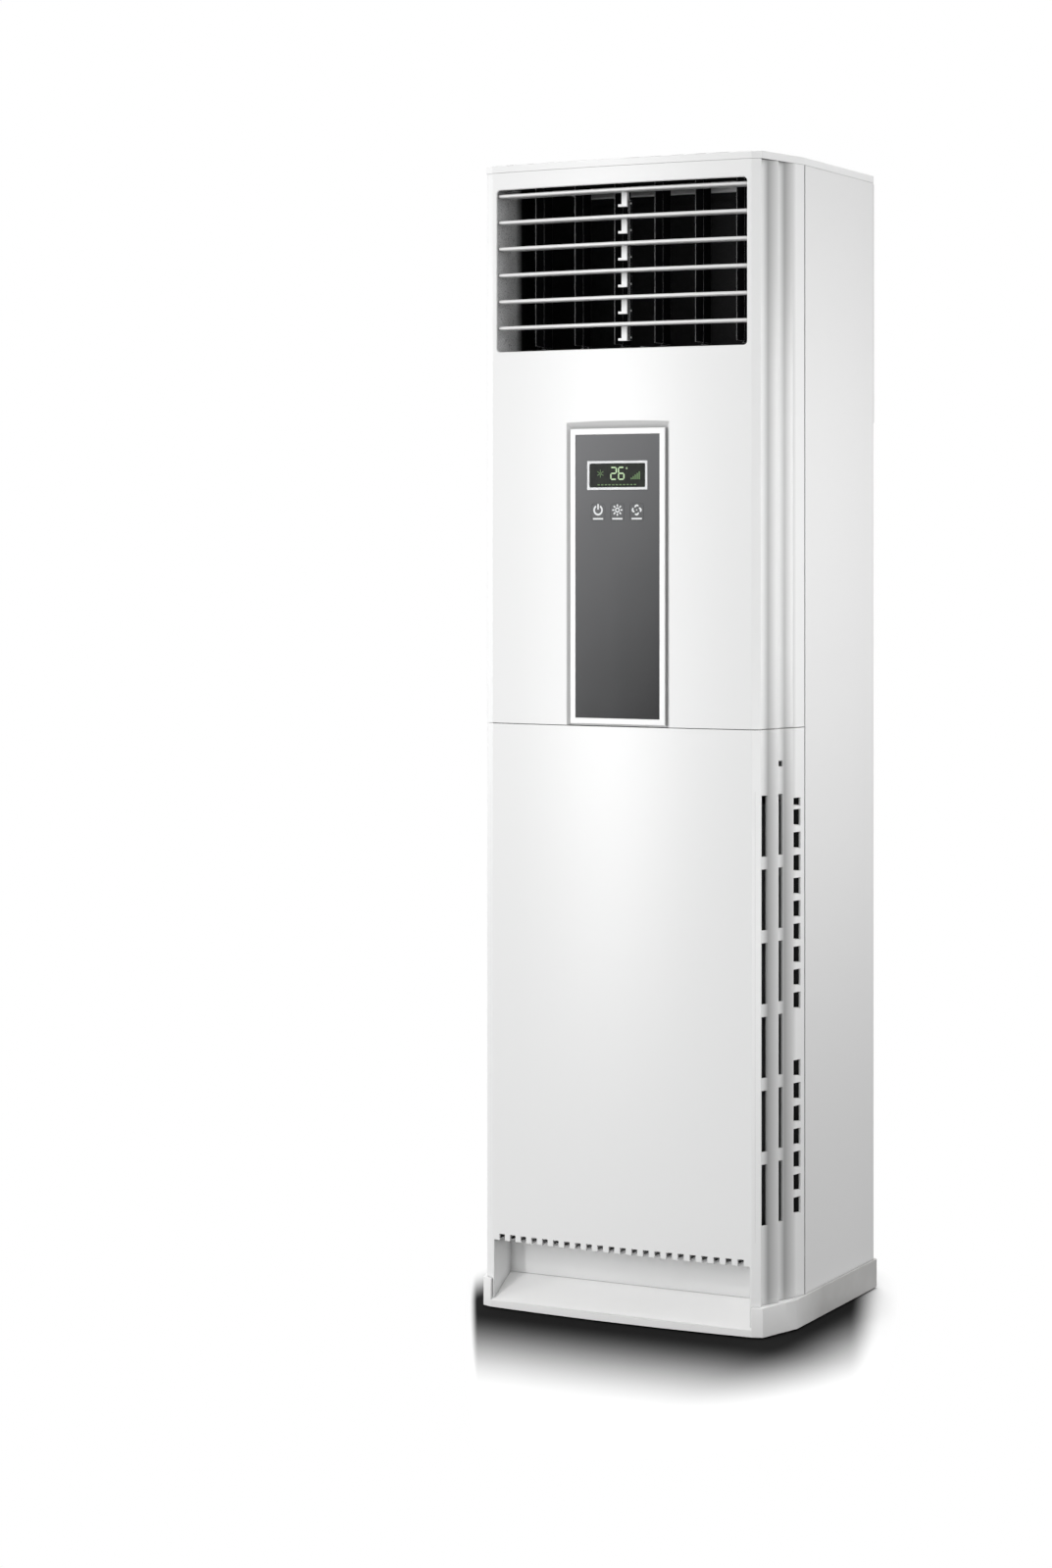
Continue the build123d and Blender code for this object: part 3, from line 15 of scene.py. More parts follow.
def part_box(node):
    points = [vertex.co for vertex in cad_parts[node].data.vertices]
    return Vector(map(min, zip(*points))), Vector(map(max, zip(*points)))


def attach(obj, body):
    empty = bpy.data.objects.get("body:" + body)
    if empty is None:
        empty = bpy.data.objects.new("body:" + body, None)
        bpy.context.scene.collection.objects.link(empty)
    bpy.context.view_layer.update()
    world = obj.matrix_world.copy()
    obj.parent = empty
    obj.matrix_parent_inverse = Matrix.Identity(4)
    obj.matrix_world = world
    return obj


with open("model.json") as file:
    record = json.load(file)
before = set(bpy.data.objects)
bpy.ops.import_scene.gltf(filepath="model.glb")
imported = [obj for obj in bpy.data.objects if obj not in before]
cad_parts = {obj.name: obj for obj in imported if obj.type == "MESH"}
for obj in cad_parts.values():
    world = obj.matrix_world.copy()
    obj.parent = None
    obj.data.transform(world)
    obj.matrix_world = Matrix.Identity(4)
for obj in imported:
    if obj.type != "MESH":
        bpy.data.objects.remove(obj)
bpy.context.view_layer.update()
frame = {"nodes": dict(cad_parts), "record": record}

# %% [markdown]
# ## The camera
# The upright edges in the photograph don't lean, so the camera was level and the lens
# was shifted to frame the unit. A level camera with a shift does the same here. Its
# place comes from the vanishing points of the plinth and the cover.

# %% Camera
camera_place = (2.309, -4.672, 1.211)
camera_turn = 26.2           # degrees from facing straight back
camera_lens = 73.8           # millimetres
sensor_width = 36            # millimetres
lens_shift = (-0.0984, -0.1491)

camera_data = bpy.data.cameras.new("studio_camera")
camera_data.sensor_width = sensor_width
camera_data.lens = camera_lens
camera_data.shift_x, camera_data.shift_y = lens_shift
camera = bpy.data.objects.new("studio_camera", camera_data)
camera.location = camera_place
camera.rotation_euler = (radians(90), 0, radians(camera_turn))
bpy.context.scene.collection.objects.link(camera)
bpy.context.scene.camera = camera
print("camera looks", camera_turn, "degrees to the left from", camera_place)

# %% [markdown]
# ## Wiring nodes
# A material is a tree of nodes, and every link between two of them is made by hand. A
# few small helpers keep that readable. Numbers that are the same all over a piece go
# straight on the shader.


# %% Node helpers
def new_finish(name):
    """A material with its shader wired to the output and nothing else."""
    material = bpy.data.materials.new(name)
    material.use_nodes = True
    tree = material.node_tree
    tree.nodes.clear()
    output = tree.nodes.new("ShaderNodeOutputMaterial")
    shader = tree.nodes.new("ShaderNodeBsdfPrincipled")
    tree.links.new(shader.outputs["BSDF"], output.inputs["Surface"])
    return material, tree, shader


def spread(tree, value, low, high, start=0.0, end=1.0):
    """The value, carried from the range low..high to start..end and held there."""
    ranged = tree.nodes.new("ShaderNodeMapRange")
    sockets = "From Min", "From Max", "To Min", "To Max"
    for socket, number in zip(sockets, (low, high, start, end)):
        ranged.inputs[socket].default_value = number
    tree.links.new(value, ranged.inputs["Value"])
    return ranged.outputs["Result"]


def maths(tree, operation, *values):
    """One sum, whose values are outputs or numbers."""
    sum_node = tree.nodes.new("ShaderNodeMath")
    sum_node.operation = operation
    for socket, value in zip(sum_node.inputs, values):
        if isinstance(value, (int, float)):
            socket.default_value = value
        else:
            tree.links.new(value, socket)
    return sum_node.outputs[0]


def split(tree, place):
    """The outputs X, Y and Z of a place."""
    parts = tree.nodes.new("ShaderNodeSeparateXYZ")
    tree.links.new(place, parts.inputs[0])
    return parts.outputs


def colour(tree, shader, tone):
    """Gives the shader its colour."""
    tree.links.new(tone, shader.inputs["Base Color"])


def tune(shader, numbers):
    """Sets numbers that are the same all over a piece."""
    for socket, number in numbers.items():
        shader.inputs[socket].default_value = number


print("node helpers ready")

# %% [markdown]
# ## The shade under the unit
# The shade starts at the plinth and runs forwards and to the right. Lamps alone would
# spread it to all sides, so its tone is drawn on the floor. Each of its sides clears
# over a length of its own. Where two sides meet, their distances are added as squares,
# which rounds the corner.

# %% Shade on the floor
half_width, half_depth = 0.27, 0.2075
shade_tone = 0.02            # the painted shadow's tone at its darkest, against the plinth
shade_range = (0.06, 0.94)   # of each side's length: darkest, then clear
shade_reach = 2.0            # lengths over which each side is followed
shade_sides = (              # way across the floor, metres to the unit's outline, shade's length
    ((0, -1), half_depth, 0.50),
    ((1, 0), half_width, 0.25),
    ((0, 1), half_depth, 0.12),
    ((-1, 0), half_width, 0.12),
    ((-0.866, -0.500), 0.319, 0.014),    # across the left front corner
    ((0.923, 0.386), 0.283, 0.060),      # across the right rear corner
)


def out_of_shade(tree):
    """0 within the unit's outline and 1 where its shade is clear."""
    place = tree.nodes.new("ShaderNodeTexCoord").outputs["Object"]
    total = 0.0
    for way, start, length in shade_sides:
        along = tree.nodes.new("ShaderNodeVectorMath")
        along.operation = "DOT_PRODUCT"
        along.inputs[1].default_value = (*way, 0)
        tree.links.new(place, along.inputs[0])
        end = start + shade_reach * length
        run = spread(tree, along.outputs["Value"], start, end, 0.0, shade_reach)
        total = maths(tree, "MULTIPLY_ADD", run, run, total)
    return maths(tree, "SQRT", total)


print("shade:", len(shade_sides), "sides, longest", max(side[2] for side in shade_sides), "metres")

# %% [markdown]
# ## The paper floor
# A product shot stands on white paper that has no edge. A sheet's far part is never
# quite as white as the background, so it is real paper where the painted shadow lies on
# it, and turns to plain white outside that. Light Path tells the camera's rays from
# those that light other surfaces, so the white adds no light to the unit.

# %% Paper floor
paper_half = 9.0             # metres, middle to edge
paper_tone = 0.93
bounce_tone = 0.12           # as other surfaces see it, so that it throws little light back
paper_fade = (0.86, 1.36)    # of each side's length: all paper, then all white


def seen_directly(tree):
    """1 for rays from the camera, a mirror or through glass."""
    path = tree.nodes.new("ShaderNodeLightPath")
    total = path.outputs["Is Camera Ray"]
    for name in ("Is Glossy Ray", "Is Transmission Ray"):
        total = maths(tree, "MAXIMUM", total, path.outputs[name])
    return total


def mix_shaders(tree, share, first, second):
    """A mix of two shaders, by share."""
    mix = tree.nodes.new("ShaderNodeMixShader")
    for socket, output in zip(mix.inputs, (share, first, second)):
        tree.links.new(output, socket)
    return mix.outputs[0]


def paper():
    """Paper with the painted shadow, turning plain white with distance from the unit."""
    material, tree, shader = new_finish("studio_paper")
    tune(shader, {"Roughness": 0.9, "Specular IOR Level": 0.0})
    bounced = tree.nodes.new("ShaderNodeLightPath").outputs["Is Diffuse Ray"]
    tone = spread(tree, bounced, 0, 1, paper_tone, bounce_tone)
    away = out_of_shade(tree)
    shade = spread(tree, away, *shade_range, shade_tone, 1.0)
    shade.node.interpolation_type = "SMOOTHSTEP"
    colour(tree, shader, maths(tree, "MULTIPLY", tone, shade))
    white = tree.nodes.new("ShaderNodeEmission")
    dark = tree.nodes.new("ShaderNodeEmission")
    dark.inputs["Strength"].default_value = 0.0
    glow = mix_shaders(tree, seen_directly(tree), dark.outputs[0], white.outputs[0])
    whole = mix_shaders(tree, spread(tree, away, *paper_fade), shader.outputs["BSDF"], glow)
    output = next(node for node in tree.nodes if node.type == "OUTPUT_MATERIAL")
    tree.links.new(whole, output.inputs["Surface"])
    return material


corners = [(x * paper_half, y * paper_half, 0) for x, y in ((-1, -1), (1, -1), (1, 1), (-1, 1))]
paper_mesh = bpy.data.meshes.new("studio_floor")
paper_mesh.from_pydata(corners, [], [(0, 1, 2, 3)])
paper_mesh.materials.append(paper())
studio_floor = bpy.data.objects.new("studio_floor", paper_mesh)
bpy.context.scene.collection.objects.link(studio_floor)
print("paper:", 2 * paper_half, "metres wide")

# %% [markdown]
# ## The lamps
# White plastic on white paper needs soft light that still has a direction. A tall slim
# box stands where the bowed face mirrors it, which gives the soft sheen down its
# middle. One far to the left and one high up let the front fade towards its right edge.
# A box close to the side lights it at chest height, so that it darkens towards the
# floor. One on the right reaches into the outlet, and a low one fills the front's foot.
# A weak sheet overhead lights the cover.

# %% Lamps
lamps = {                    # place, point it faces, width, height, watts
    "high_box": ((-2.2, -4.0, 3.9), (0.0, -0.2, 0.9), 1.6, 1.6, 46.0),
    "sheen_box": ((-2.35, -4.6, 1.2), (0.0, -0.2, 1.0), 0.5, 2.4, 53.0),
    "left_box": ((-4.2, -2.2, 1.3), (0.0, -0.2, 0.9), 1.2, 1.8, 45.0),
    "side_box": ((1.35, -0.1, 1.25), (0.27, -0.05, 1.2), 0.5, 0.8, 7.2),
    "right_box": ((3.6, -3.8, 2.2), (0.0, -0.2, 1.6), 0.8, 0.8, 2.0),
    "low_box": ((1.0, -2.4, 0.35), (0.0, -0.2, 0.10), 0.8, 0.8, 6.5),
}
top_light = 0.8              # watts to the square metre
top_width = 26               # degrees that the sheet spans
top_tilt = (-12, -5, 0)      # degrees: it stands behind the unit and to its left
top_place = (0, 1, 4)


def soft_box(name, place, target, width, height, watts):
    """A rectangular lamp at a place, facing a point."""
    light = bpy.data.lights.new(name, "AREA")
    light.shape = "RECTANGLE"
    light.size, light.size_y = width, height
    light.energy = watts
    lamp = bpy.data.objects.new(name, light)
    lamp.location = place
    lamp.rotation_euler = (Vector(target) - Vector(place)).to_track_quat("-Z", "Y").to_euler()
    bpy.context.scene.collection.objects.link(lamp)


for name, values in lamps.items():
    soft_box(name, *values)

overhead = bpy.data.lights.new("overhead_sheet", "SUN")
overhead.energy = top_light
overhead.angle = radians(top_width)
overhead_lamp = bpy.data.objects.new("overhead_sheet", overhead)
overhead_lamp.rotation_euler = tuple(radians(value) for value in top_tilt)
overhead_lamp.location = top_place
bpy.context.scene.collection.objects.link(overhead_lamp)
print("lamps:", ", ".join(lamps), "and the overhead sheet")

# %% [markdown]
# ## The room
# The room gives an even light, dimmer than the white that the camera sees behind the
# unit. The same Light Path step as on the floor keeps the two apart.

# %% Room light
room_light = 0.70
room = bpy.data.worlds.new("studio_room")
bpy.context.scene.world = room
room.use_nodes = True
room_tree = room.node_tree
room_tree.nodes.clear()


def plain_white(tree, strength):
    """White all round."""
    background = tree.nodes.new("ShaderNodeBackground")
    background.inputs["Color"].default_value = (1, 1, 1, 1)
    background.inputs["Strength"].default_value = strength
    return background.outputs[0]


room_output = room_tree.nodes.new("ShaderNodeOutputWorld")
room_mix = mix_shaders(room_tree, seen_directly(room_tree),
                       plain_white(room_tree, room_light), plain_white(room_tree, 1.0))
room_tree.links.new(room_mix, room_output.inputs["Surface"])
bpy.context.scene.view_settings.view_transform = "Standard"
print("room light:", room_light)

# %% [markdown]
# ## Patterns for finishes
# A finish is never one flat colour. Each one below is wired from the same few steps:
# where a point lies on the piece, a pattern there, and a pair of colours mixed by it.
# Each step adds its node and hands on its output.


# %% Patterns and colours
def place_on(tree, stretch=(1, 1, 1)):
    """A point's place in metres, stretched where a grain runs one way."""
    coordinates = tree.nodes.new("ShaderNodeTexCoord")
    mapping = tree.nodes.new("ShaderNodeMapping")
    mapping.inputs["Scale"].default_value = stretch
    tree.links.new(coordinates.outputs["Object"], mapping.inputs["Vector"])
    return mapping.outputs["Vector"]


def cloud(tree, where, scale, detail=3.0):
    """Soft noise."""
    noise = tree.nodes.new("ShaderNodeTexNoise")
    noise.inputs["Scale"].default_value = scale
    noise.inputs["Detail"].default_value = detail
    tree.links.new(where, noise.inputs["Vector"])
    return noise.outputs["Fac"]


def cells(tree, where, scale, feature="F1", output="Distance"):
    """Cells like beads or crystals."""
    voronoi = tree.nodes.new("ShaderNodeTexVoronoi")
    voronoi.feature = feature
    voronoi.inputs["Scale"].default_value = scale
    tree.links.new(where, voronoi.inputs["Vector"])
    return voronoi.outputs[output]


def flecks(tree, where, scale):
    """Cells that each have a grey of their own, like flakes."""
    grey = tree.nodes.new("ShaderNodeRGBToBW")
    tree.links.new(cells(tree, where, scale, output="Color"), grey.inputs[0])
    return grey.outputs[0]


def stripes(tree, where, scale, axis, distortion=0.0):
    """Even lines across one axis."""
    wave = tree.nodes.new("ShaderNodeTexWave")
    wave.bands_direction = axis
    wave.inputs["Scale"].default_value = scale
    wave.inputs["Distortion"].default_value = distortion
    tree.links.new(where, wave.inputs["Vector"])
    return wave.outputs["Fac"]


def blend(tree, share, first, second):
    """A mix of two colours or outputs, by share."""
    mix = tree.nodes.new("ShaderNodeMix")
    mix.data_type = "RGBA"
    tree.links.new(share, mix.inputs[0])
    for socket, tone in zip((mix.inputs[6], mix.inputs[7]), (first, second)):
        if isinstance(tone, tuple):
            socket.default_value = (*tone, 1)
        else:
            tree.links.new(tone, socket)
    return mix.outputs[2]


def dimmed(tone, share):
    """A colour at a share of its strength."""
    return tuple(share * part for part in tone)


print("patterns ready")

# %% [markdown]
# ## Edges, corners and gloss
# A mould or a press leaves slightly round edges, which catch the light. The Bevel node
# bends the light there without any change to the mesh. Set against the true surface, it
# also tells where the edges are, so that they can wear. Ambient Occlusion tells where
# walls close a point in, which is where shade is painted into the corners.

# %% Edges, corners and gloss
bevel_samples = 4
corner_samples = 8


def round_normal(tree, radius):
    """The surface's direction as if its edges had this radius."""
    bevel = tree.nodes.new("ShaderNodeBevel")
    bevel.samples = bevel_samples
    bevel.inputs["Radius"].default_value = radius
    return bevel.outputs["Normal"]


def edges(tree, radius, low=0.7, high=0.97):
    """0 on the flats and 1 on the edges, within a radius of them."""
    surface = tree.nodes.new("ShaderNodeNewGeometry")
    product = tree.nodes.new("ShaderNodeVectorMath")
    product.operation = "DOT_PRODUCT"
    tree.links.new(round_normal(tree, radius), product.inputs[0])
    tree.links.new(surface.outputs["True Normal"], product.inputs[1])
    return spread(tree, product.outputs["Value"], high, low)


def open_to_air(tree, reach, low, high):
    """1 on open surfaces, falling to 0 where walls within reach close a point in."""
    air = tree.nodes.new("ShaderNodeAmbientOcclusion")
    air.samples = corner_samples
    air.inputs["Distance"].default_value = reach
    return spread(tree, air.outputs["AO"], low, high)


def relief(tree, shader, height, depth, radius):
    """Fine relief over edges rounded to radius."""
    bump = tree.nodes.new("ShaderNodeBump")
    bump.inputs["Distance"].default_value = depth
    tree.links.new(height, bump.inputs["Height"])
    tree.links.new(round_normal(tree, radius), bump.inputs["Normal"])
    tree.links.new(bump.outputs["Normal"], shader.inputs["Normal"])


def gloss(tree, shader, value, low, high):
    """Roughness from low to high, by a value from 0 to 1."""
    tree.links.new(spread(tree, value, 0, 1, low, high), shader.inputs["Roughness"])


print("edges, corners and gloss ready")

# %% [markdown]
# ## Painted shade in the columns' folds
# The columns at the sides fold back in saw teeth, and a painted shade greys the hollows
# behind them. These lie at known depths behind the ridge, so the shade is placed by depth.

# %% Painted shade in the folds
column_low, column_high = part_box("right_intake_grille")
column_run = 0.031           # side to the innermost point of the folds
fold_dips = (                # ridge to a hollow's start, its greyest point and its end
    (0.008, 0.019, 0.044),
    (0.049, 0.060, 0.083),
)
fold_share = 0.40            # the painted shade's darkest tone, of the white's


def in_folds(tree, where):
    """0 on the teeth and elsewhere, and 1 where the painted shade in the hollows is darkest."""
    part = split(tree, where)
    greying = 0.0
    for dip in fold_dips:
        start, middle, end = (column_low.y + distance for distance in dip)
        rising = spread(tree, part["Y"], start, middle)
        falling = spread(tree, part["Y"], middle, end, 1.0, 0.0)
        greying = maths(tree, "ADD", maths(tree, "MULTIPLY", rising, falling), greying)
    across = maths(tree, "ABSOLUTE", part["X"])
    on_column = maths(tree, "GREATER_THAN", across, column_high.x - column_run)
    return maths(tree, "MULTIPLY", greying, on_column)


print("hollows in each column:", len(fold_dips))

# %% [markdown]
# ## White mouldings
# The front, the columns, the cover, the display's frame and the louvers are moulded in
# white ABS. Such mouldings have a faint satin ripple from the mould, slow patches where
# the gloss differs, and a little more grey where hands and dust reach the edges.

# %% White moulded plastic
shell_tones = (0.868, 0.870, 0.868), (0.845, 0.848, 0.846)
blade_tones = (0.84, 0.842, 0.84), (0.80, 0.803, 0.80)
shell_ripple, blade_ripple = 0.00004, 0.00003
# the second share is the tone of the painted shade in corners, of the white's
soiled_share, corner_shade_share = 0.86, 0.62
finishes = {}


def white_moulding(name, tones, ripple, folded=False):
    """Satin white with a mould's ripple, painted shade in corners, and in folds if folded."""
    material, tree, shader = new_finish(name)
    where = place_on(tree)
    patches = cloud(tree, where, scale=3.0, detail=0.0)
    dark_tone = tones[1]
    rims = edges(tree, radius=0.0012, low=0.75, high=0.98)
    worn = maths(tree, "MULTIPLY", rims, cloud(tree, where, scale=60.0))
    tone = blend(tree, patches, *tones)
    tone = blend(tree, worn, tone, dimmed(dark_tone, soiled_share))
    # Painted shade: the white greys where walls close a point in.
    ungreyed = open_to_air(tree, reach=0.016, low=0.45, high=0.95)
    tone = blend(tree, ungreyed, dimmed(dark_tone, corner_shade_share), tone)
    if folded:
        tone = blend(tree, in_folds(tree, where), tone, dimmed(dark_tone, fold_share))
    colour(tree, shader, tone)
    tune(shader, {"Specular IOR Level": 0.8})
    gloss(tree, shader, patches, low=0.27, high=0.30)
    relief(tree, shader, cloud(tree, where, scale=900.0, detail=2.0), depth=ripple, radius=0.0009)
    return material


finishes["shell"] = white_moulding("white_abs", shell_tones, shell_ripple)
finishes["folded_shell"] = white_moulding(
    "white_abs_folded", shell_tones, shell_ripple, folded=True)
finishes["blade"] = white_moulding("white_blade", blade_tones, blade_ripple)
print("white mouldings:", len(finishes))

# %% [markdown]
# ## The plinth
# It is the same white plastic, but it greys towards the floor, and the grey fades out
# a hand's width above it. Along the sides, a painted shade also deepens towards the
# back.

# %% Plinth plastic
plinth_tones = (0.95, 0.95, 0.947), (0.92, 0.92, 0.916)
# the grey towards the floor, and the painted shade along the sides
greying_tone = (0.46, 0.455, 0.445)
greying_top = 0.05              # metres above the floor
floor_greying = 0.35            # share of grey at the floor
side_shade_share = 0.9              # share of painted shade at the back of the sides
side_start = 0.262           # middle to the plinth's side faces
grey_back = (-0.17, -0.02)   # along the sides: where the painted shade starts, and is darkest


def plinth_plastic():
    """White plastic that greys towards the floor, with painted shade on its sides."""
    material, tree, shader = new_finish("plinth_plastic")
    where = place_on(tree)
    part = split(tree, where)
    low_down = spread(tree, part["Z"], greying_top, 0.0, 0.0, floor_greying)
    on_side = maths(tree, "GREATER_THAN", maths(tree, "ABSOLUTE", part["X"]), side_start)
    back = spread(tree, part["Y"], *grey_back, 0.0, side_shade_share)
    # Painted shade along the sides, darkest towards the back.
    far_back = maths(tree, "MULTIPLY", on_side, back)
    reach = maths(tree, "MAXIMUM", low_down, far_back)
    uneven = spread(tree, cloud(tree, where, scale=22.0, detail=4.0), 0, 1, 0.8, 1.1)
    greying = maths(tree, "MULTIPLY", reach, uneven)
    patches = cloud(tree, where, scale=9.0)
    ungreyed = blend(tree, patches, *plinth_tones)
    colour(tree, shader, blend(tree, greying, ungreyed, greying_tone))
    gloss(tree, shader, patches, low=0.42, high=0.56)
    relief(tree, shader, cloud(tree, where, scale=700.0, detail=2.0), depth=0.00006, radius=0.0012)
    return material


finishes["base"] = plinth_plastic()
print("dust up to", greying_top, "metres")

# %% [markdown]
# ## Painted sheet steel
# The sides and the back are folded steel with a powder coat. Powder flows into a skin
# like orange peel, coarser than the ripple on plastic, so the same noise is used at a
# lower scale and more depth.

# %% Powder coat
side_tones = (0.83, 0.83, 0.828), (0.80, 0.80, 0.80)
rear_tones = (0.60, 0.61, 0.61), (0.55, 0.56, 0.56)
side_peel, rear_peel = 0.00007, 0.00009
bare_edge = (0.62, 0.62, 0.63)
# the painted shade's grey, where walls close a corner in
corner_shade_grey = (0.40, 0.40, 0.40)
speck_share = 0.93


def powder_coat(name, tones, peel_depth):
    """Baked powder paint with orange peel, a thin, greyer edge and painted shade in corners."""
    material, tree, shader = new_finish(name)
    where = place_on(tree)
    patches = cloud(tree, where, scale=2.2, detail=0.0)
    specks = spread(tree, cells(tree, where, scale=260.0), 0.02, 0.06, 0.4, 0.0)
    thin = maths(tree, "MULTIPLY", edges(tree, radius=0.001), 0.5)
    # Painted shade: corners that walls close in turn grey.
    ungreyed = open_to_air(tree, reach=0.012, low=0.4, high=0.9)
    tone = blend(tree, patches, *tones)
    tone = blend(tree, specks, tone, dimmed(tones[1], speck_share))
    tone = blend(tree, thin, tone, bare_edge)
    colour(tree, shader, blend(tree, ungreyed, corner_shade_grey, tone))
    gloss(tree, shader, patches, low=0.38, high=0.50)
    relief(tree, shader, cloud(tree, where, scale=420.0, detail=1.0), peel_depth, radius=0.0006)
    return material


finishes["side_sheet"] = powder_coat("side_powder_coat", side_tones, side_peel)
finishes["rear_sheet"] = powder_coat("rear_powder_coat", rear_tones, rear_peel)
print("powder coats: side and rear")

# %% [markdown]
# ## Black and grey plastics, and rubber
# Unpainted plastic inside the unit has a spark-eroded grain. The vanes in the outlet
# are black, yet their front edges catch the light, so the edge colour is set lighter.

# %% Plain inner plastics
inner_plastics = {           # material, tones, roughness, grain's scale and depth, edge radius
    "inner_black": ("black_plastic", (0.005, 0.005, 0.006), (0.85, 0.85, 0.85),
                    0.6, 600.0, 0.00005, 0.0012),
    "grey_plastic": ("grey_plastic", (0.21, 0.215, 0.22), (0.32, 0.325, 0.33),
                     0.5, 500.0, 0.00006, 0.0008),
    "rubber": ("black_rubber", (0.022, 0.022, 0.022), (0.045, 0.045, 0.045),
               0.75, 300.0, 0.0001, 0.0012),
}
grain_share = 1.25           # the grain's high points, of the tone
gloss_swing = 0.06           # roughness above and below the middle


def grained_plastic(name, tone, edge_highlight_tone, roughness, grain_scale, grain_depth, edge_radius):
    """Matt plastic with an eroded grain and paler edges, a painted highlight."""
    material, tree, shader = new_finish(name)
    where = place_on(tree)
    grain = cloud(tree, where, grain_scale, detail=4.0)
    body = blend(tree, grain, tone, dimmed(tone, grain_share))
    rims = edges(tree, edge_radius)
    colour(tree, shader, blend(tree, rims, body, edge_highlight_tone))
    tune(shader, {"Specular IOR Level": 0.12})
    low, high = roughness - gloss_swing, roughness + gloss_swing
    gloss(tree, shader, cloud(tree, where, scale=25.0), low, high)
    relief(tree, shader, grain, grain_depth, edge_radius)
    return material


for slot, values in inner_plastics.items():
    finishes[slot] = grained_plastic(*values)
print("inner plastics:", ", ".join(inner_plastics))

# %% [markdown]
# ## The foam duct
# The duct is moulded from expanded foam, whose beads stay visible as small cells. Only
# its mouth shows them: behind the louvers a painted shade turns it black, so that
# nothing shows between the vanes.

# %% Beaded foam
bead_scale = 240.0
bead_tones = (0.72, 0.725, 0.73), (0.99, 0.99, 0.99)
pore_tone = (0.30, 0.30, 0.31)
# the painted shade's black, deeper in the duct
duct_shade_tone = (0.006, 0.006, 0.006)
duct_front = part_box("outlet_duct")[0].y
duct_shade_start = (duct_front + 0.070, duct_front + 0.092)


def beaded_foam():
    """Grey moulded foam with visible beads and pores, and painted shade deeper in."""
    material, tree, shader = new_finish("bead_foam")
    where = place_on(tree)
    beads = cells(tree, where, bead_scale)
    shade = blend(tree, cloud(tree, where, scale=45.0), *bead_tones)
    pores = spread(tree, cells(tree, where, bead_scale, "DISTANCE_TO_EDGE"), 0.0, 0.08, 0.7, 0.0)
    deep_shade = spread(tree, split(tree, where)["Y"], *duct_shade_start)
    front = blend(tree, pores, shade, pore_tone)
    colour(tree, shader, blend(tree, deep_shade, front, duct_shade_tone))
    tune(shader, {"Specular IOR Level": 0.1})
    gloss(tree, shader, beads, low=0.7, high=0.85)
    relief(tree, shader, spread(tree, beads, 0.0, 0.8, 1.0, 0.0), depth=0.0003, radius=0.0015)
    return material


finishes["duct"] = beaded_foam()
print("the duct is black from", round(duct_shade_start[1] - duct_front, 3), "metres behind its mouth")

# %% [markdown]
# ## The display
# The plate is smoked plastic under a hard clear coat, so it is dark but mirrors the
# studio. A painted sheen makes it paler from its lower right to its upper left. The
# screen's frame is silver lacquer, which is fine flakes in a clear binder.

# %% Display plate and frame
plate_low, plate_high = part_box("display_plate")
painted_sheen_range = (plate_low.z - plate_high.x, plate_high.z - plate_low.x)
# painted sheen: the dark tone at the lower right, the pale one at the upper left
painted_sheen_tones = (0.022, 0.022, 0.023), (0.20, 0.202, 0.208)
flake_tone = (0.16, 0.162, 0.165)
flake_share = 0.12
lacquer_tones = (0.34, 0.345, 0.35), (0.46, 0.465, 0.47)


def smoked_plate():
    """Dark metallic grey under a clear coat, with flakes, wiping marks and a painted sheen."""
    material, tree, shader = new_finish("smoked_plate")
    where = place_on(tree)
    part = split(tree, where)
    slope = maths(tree, "SUBTRACT", part["Z"], part["X"])
    painted_sheen = blend(tree, spread(tree, slope, *painted_sheen_range), *painted_sheen_tones)
    sparkle = maths(tree, "MULTIPLY", flecks(tree, where, scale=2600.0), flake_share)
    colour(tree, shader, blend(tree, sparkle, painted_sheen, flake_tone))
    tune(shader, {"Specular IOR Level": 0.06, "Coat Weight": 0.02, "Coat Roughness": 0.12})
    wiped = cloud(tree, place_on(tree, stretch=(1.0, 1.0, 0.25)), scale=40.0, detail=5.0)
    gloss(tree, shader, wiped, low=0.24, high=0.40)
    relief(tree, shader, cloud(tree, where, scale=300.0), depth=0.00001, radius=0.0004)
    return material


def silver_lacquer():
    """Silver paint with fine flakes."""
    material, tree, shader = new_finish("silver_lacquer")
    where = place_on(tree)
    flakes = flecks(tree, where, scale=3000.0)
    colour(tree, shader, blend(tree, flakes, *lacquer_tones))
    tune(shader, {"Metallic": 0.35})
    gloss(tree, shader, cloud(tree, where, scale=50.0), low=0.28, high=0.38)
    relief(tree, shader, flakes, depth=0.00001, radius=0.0005)
    return material


finishes["display_dark"] = smoked_plate()
finishes["bright_trim"] = silver_lacquer()
print("plate:", round(plate_high.z - plate_low.z, 3), "metres tall")

# %% [markdown]
# ## The screen's glass and the boards
# Unlit glass is nearly black, with a green tinge in patches. A board is green lacquer
# over copper tracks, and the edges of stretched cells draw its slightly paler lines.

# %% Glass and boards
glass_tones = (0.003, 0.004, 0.003), (0.010, 0.016, 0.007)
board_tones = (0.012, 0.075, 0.030), (0.03, 0.16, 0.06)


def crystal_glass():
    """Green-black display glass with a dim glow in patches."""
    material, tree, shader = new_finish("crystal_glass")
    where = place_on(tree)
    glow = spread(tree, cloud(tree, where, scale=55.0, detail=2.0), 0.35, 0.7)
    colour(tree, shader, blend(tree, glow, *glass_tones))
    tune(shader, {"Specular IOR Level": 0.04})
    gloss(tree, shader, cloud(tree, where, scale=120.0), low=0.10, high=0.18)
    relief(tree, shader, cells(tree, where, scale=4000.0), depth=0.000004, radius=0.0003)
    return material


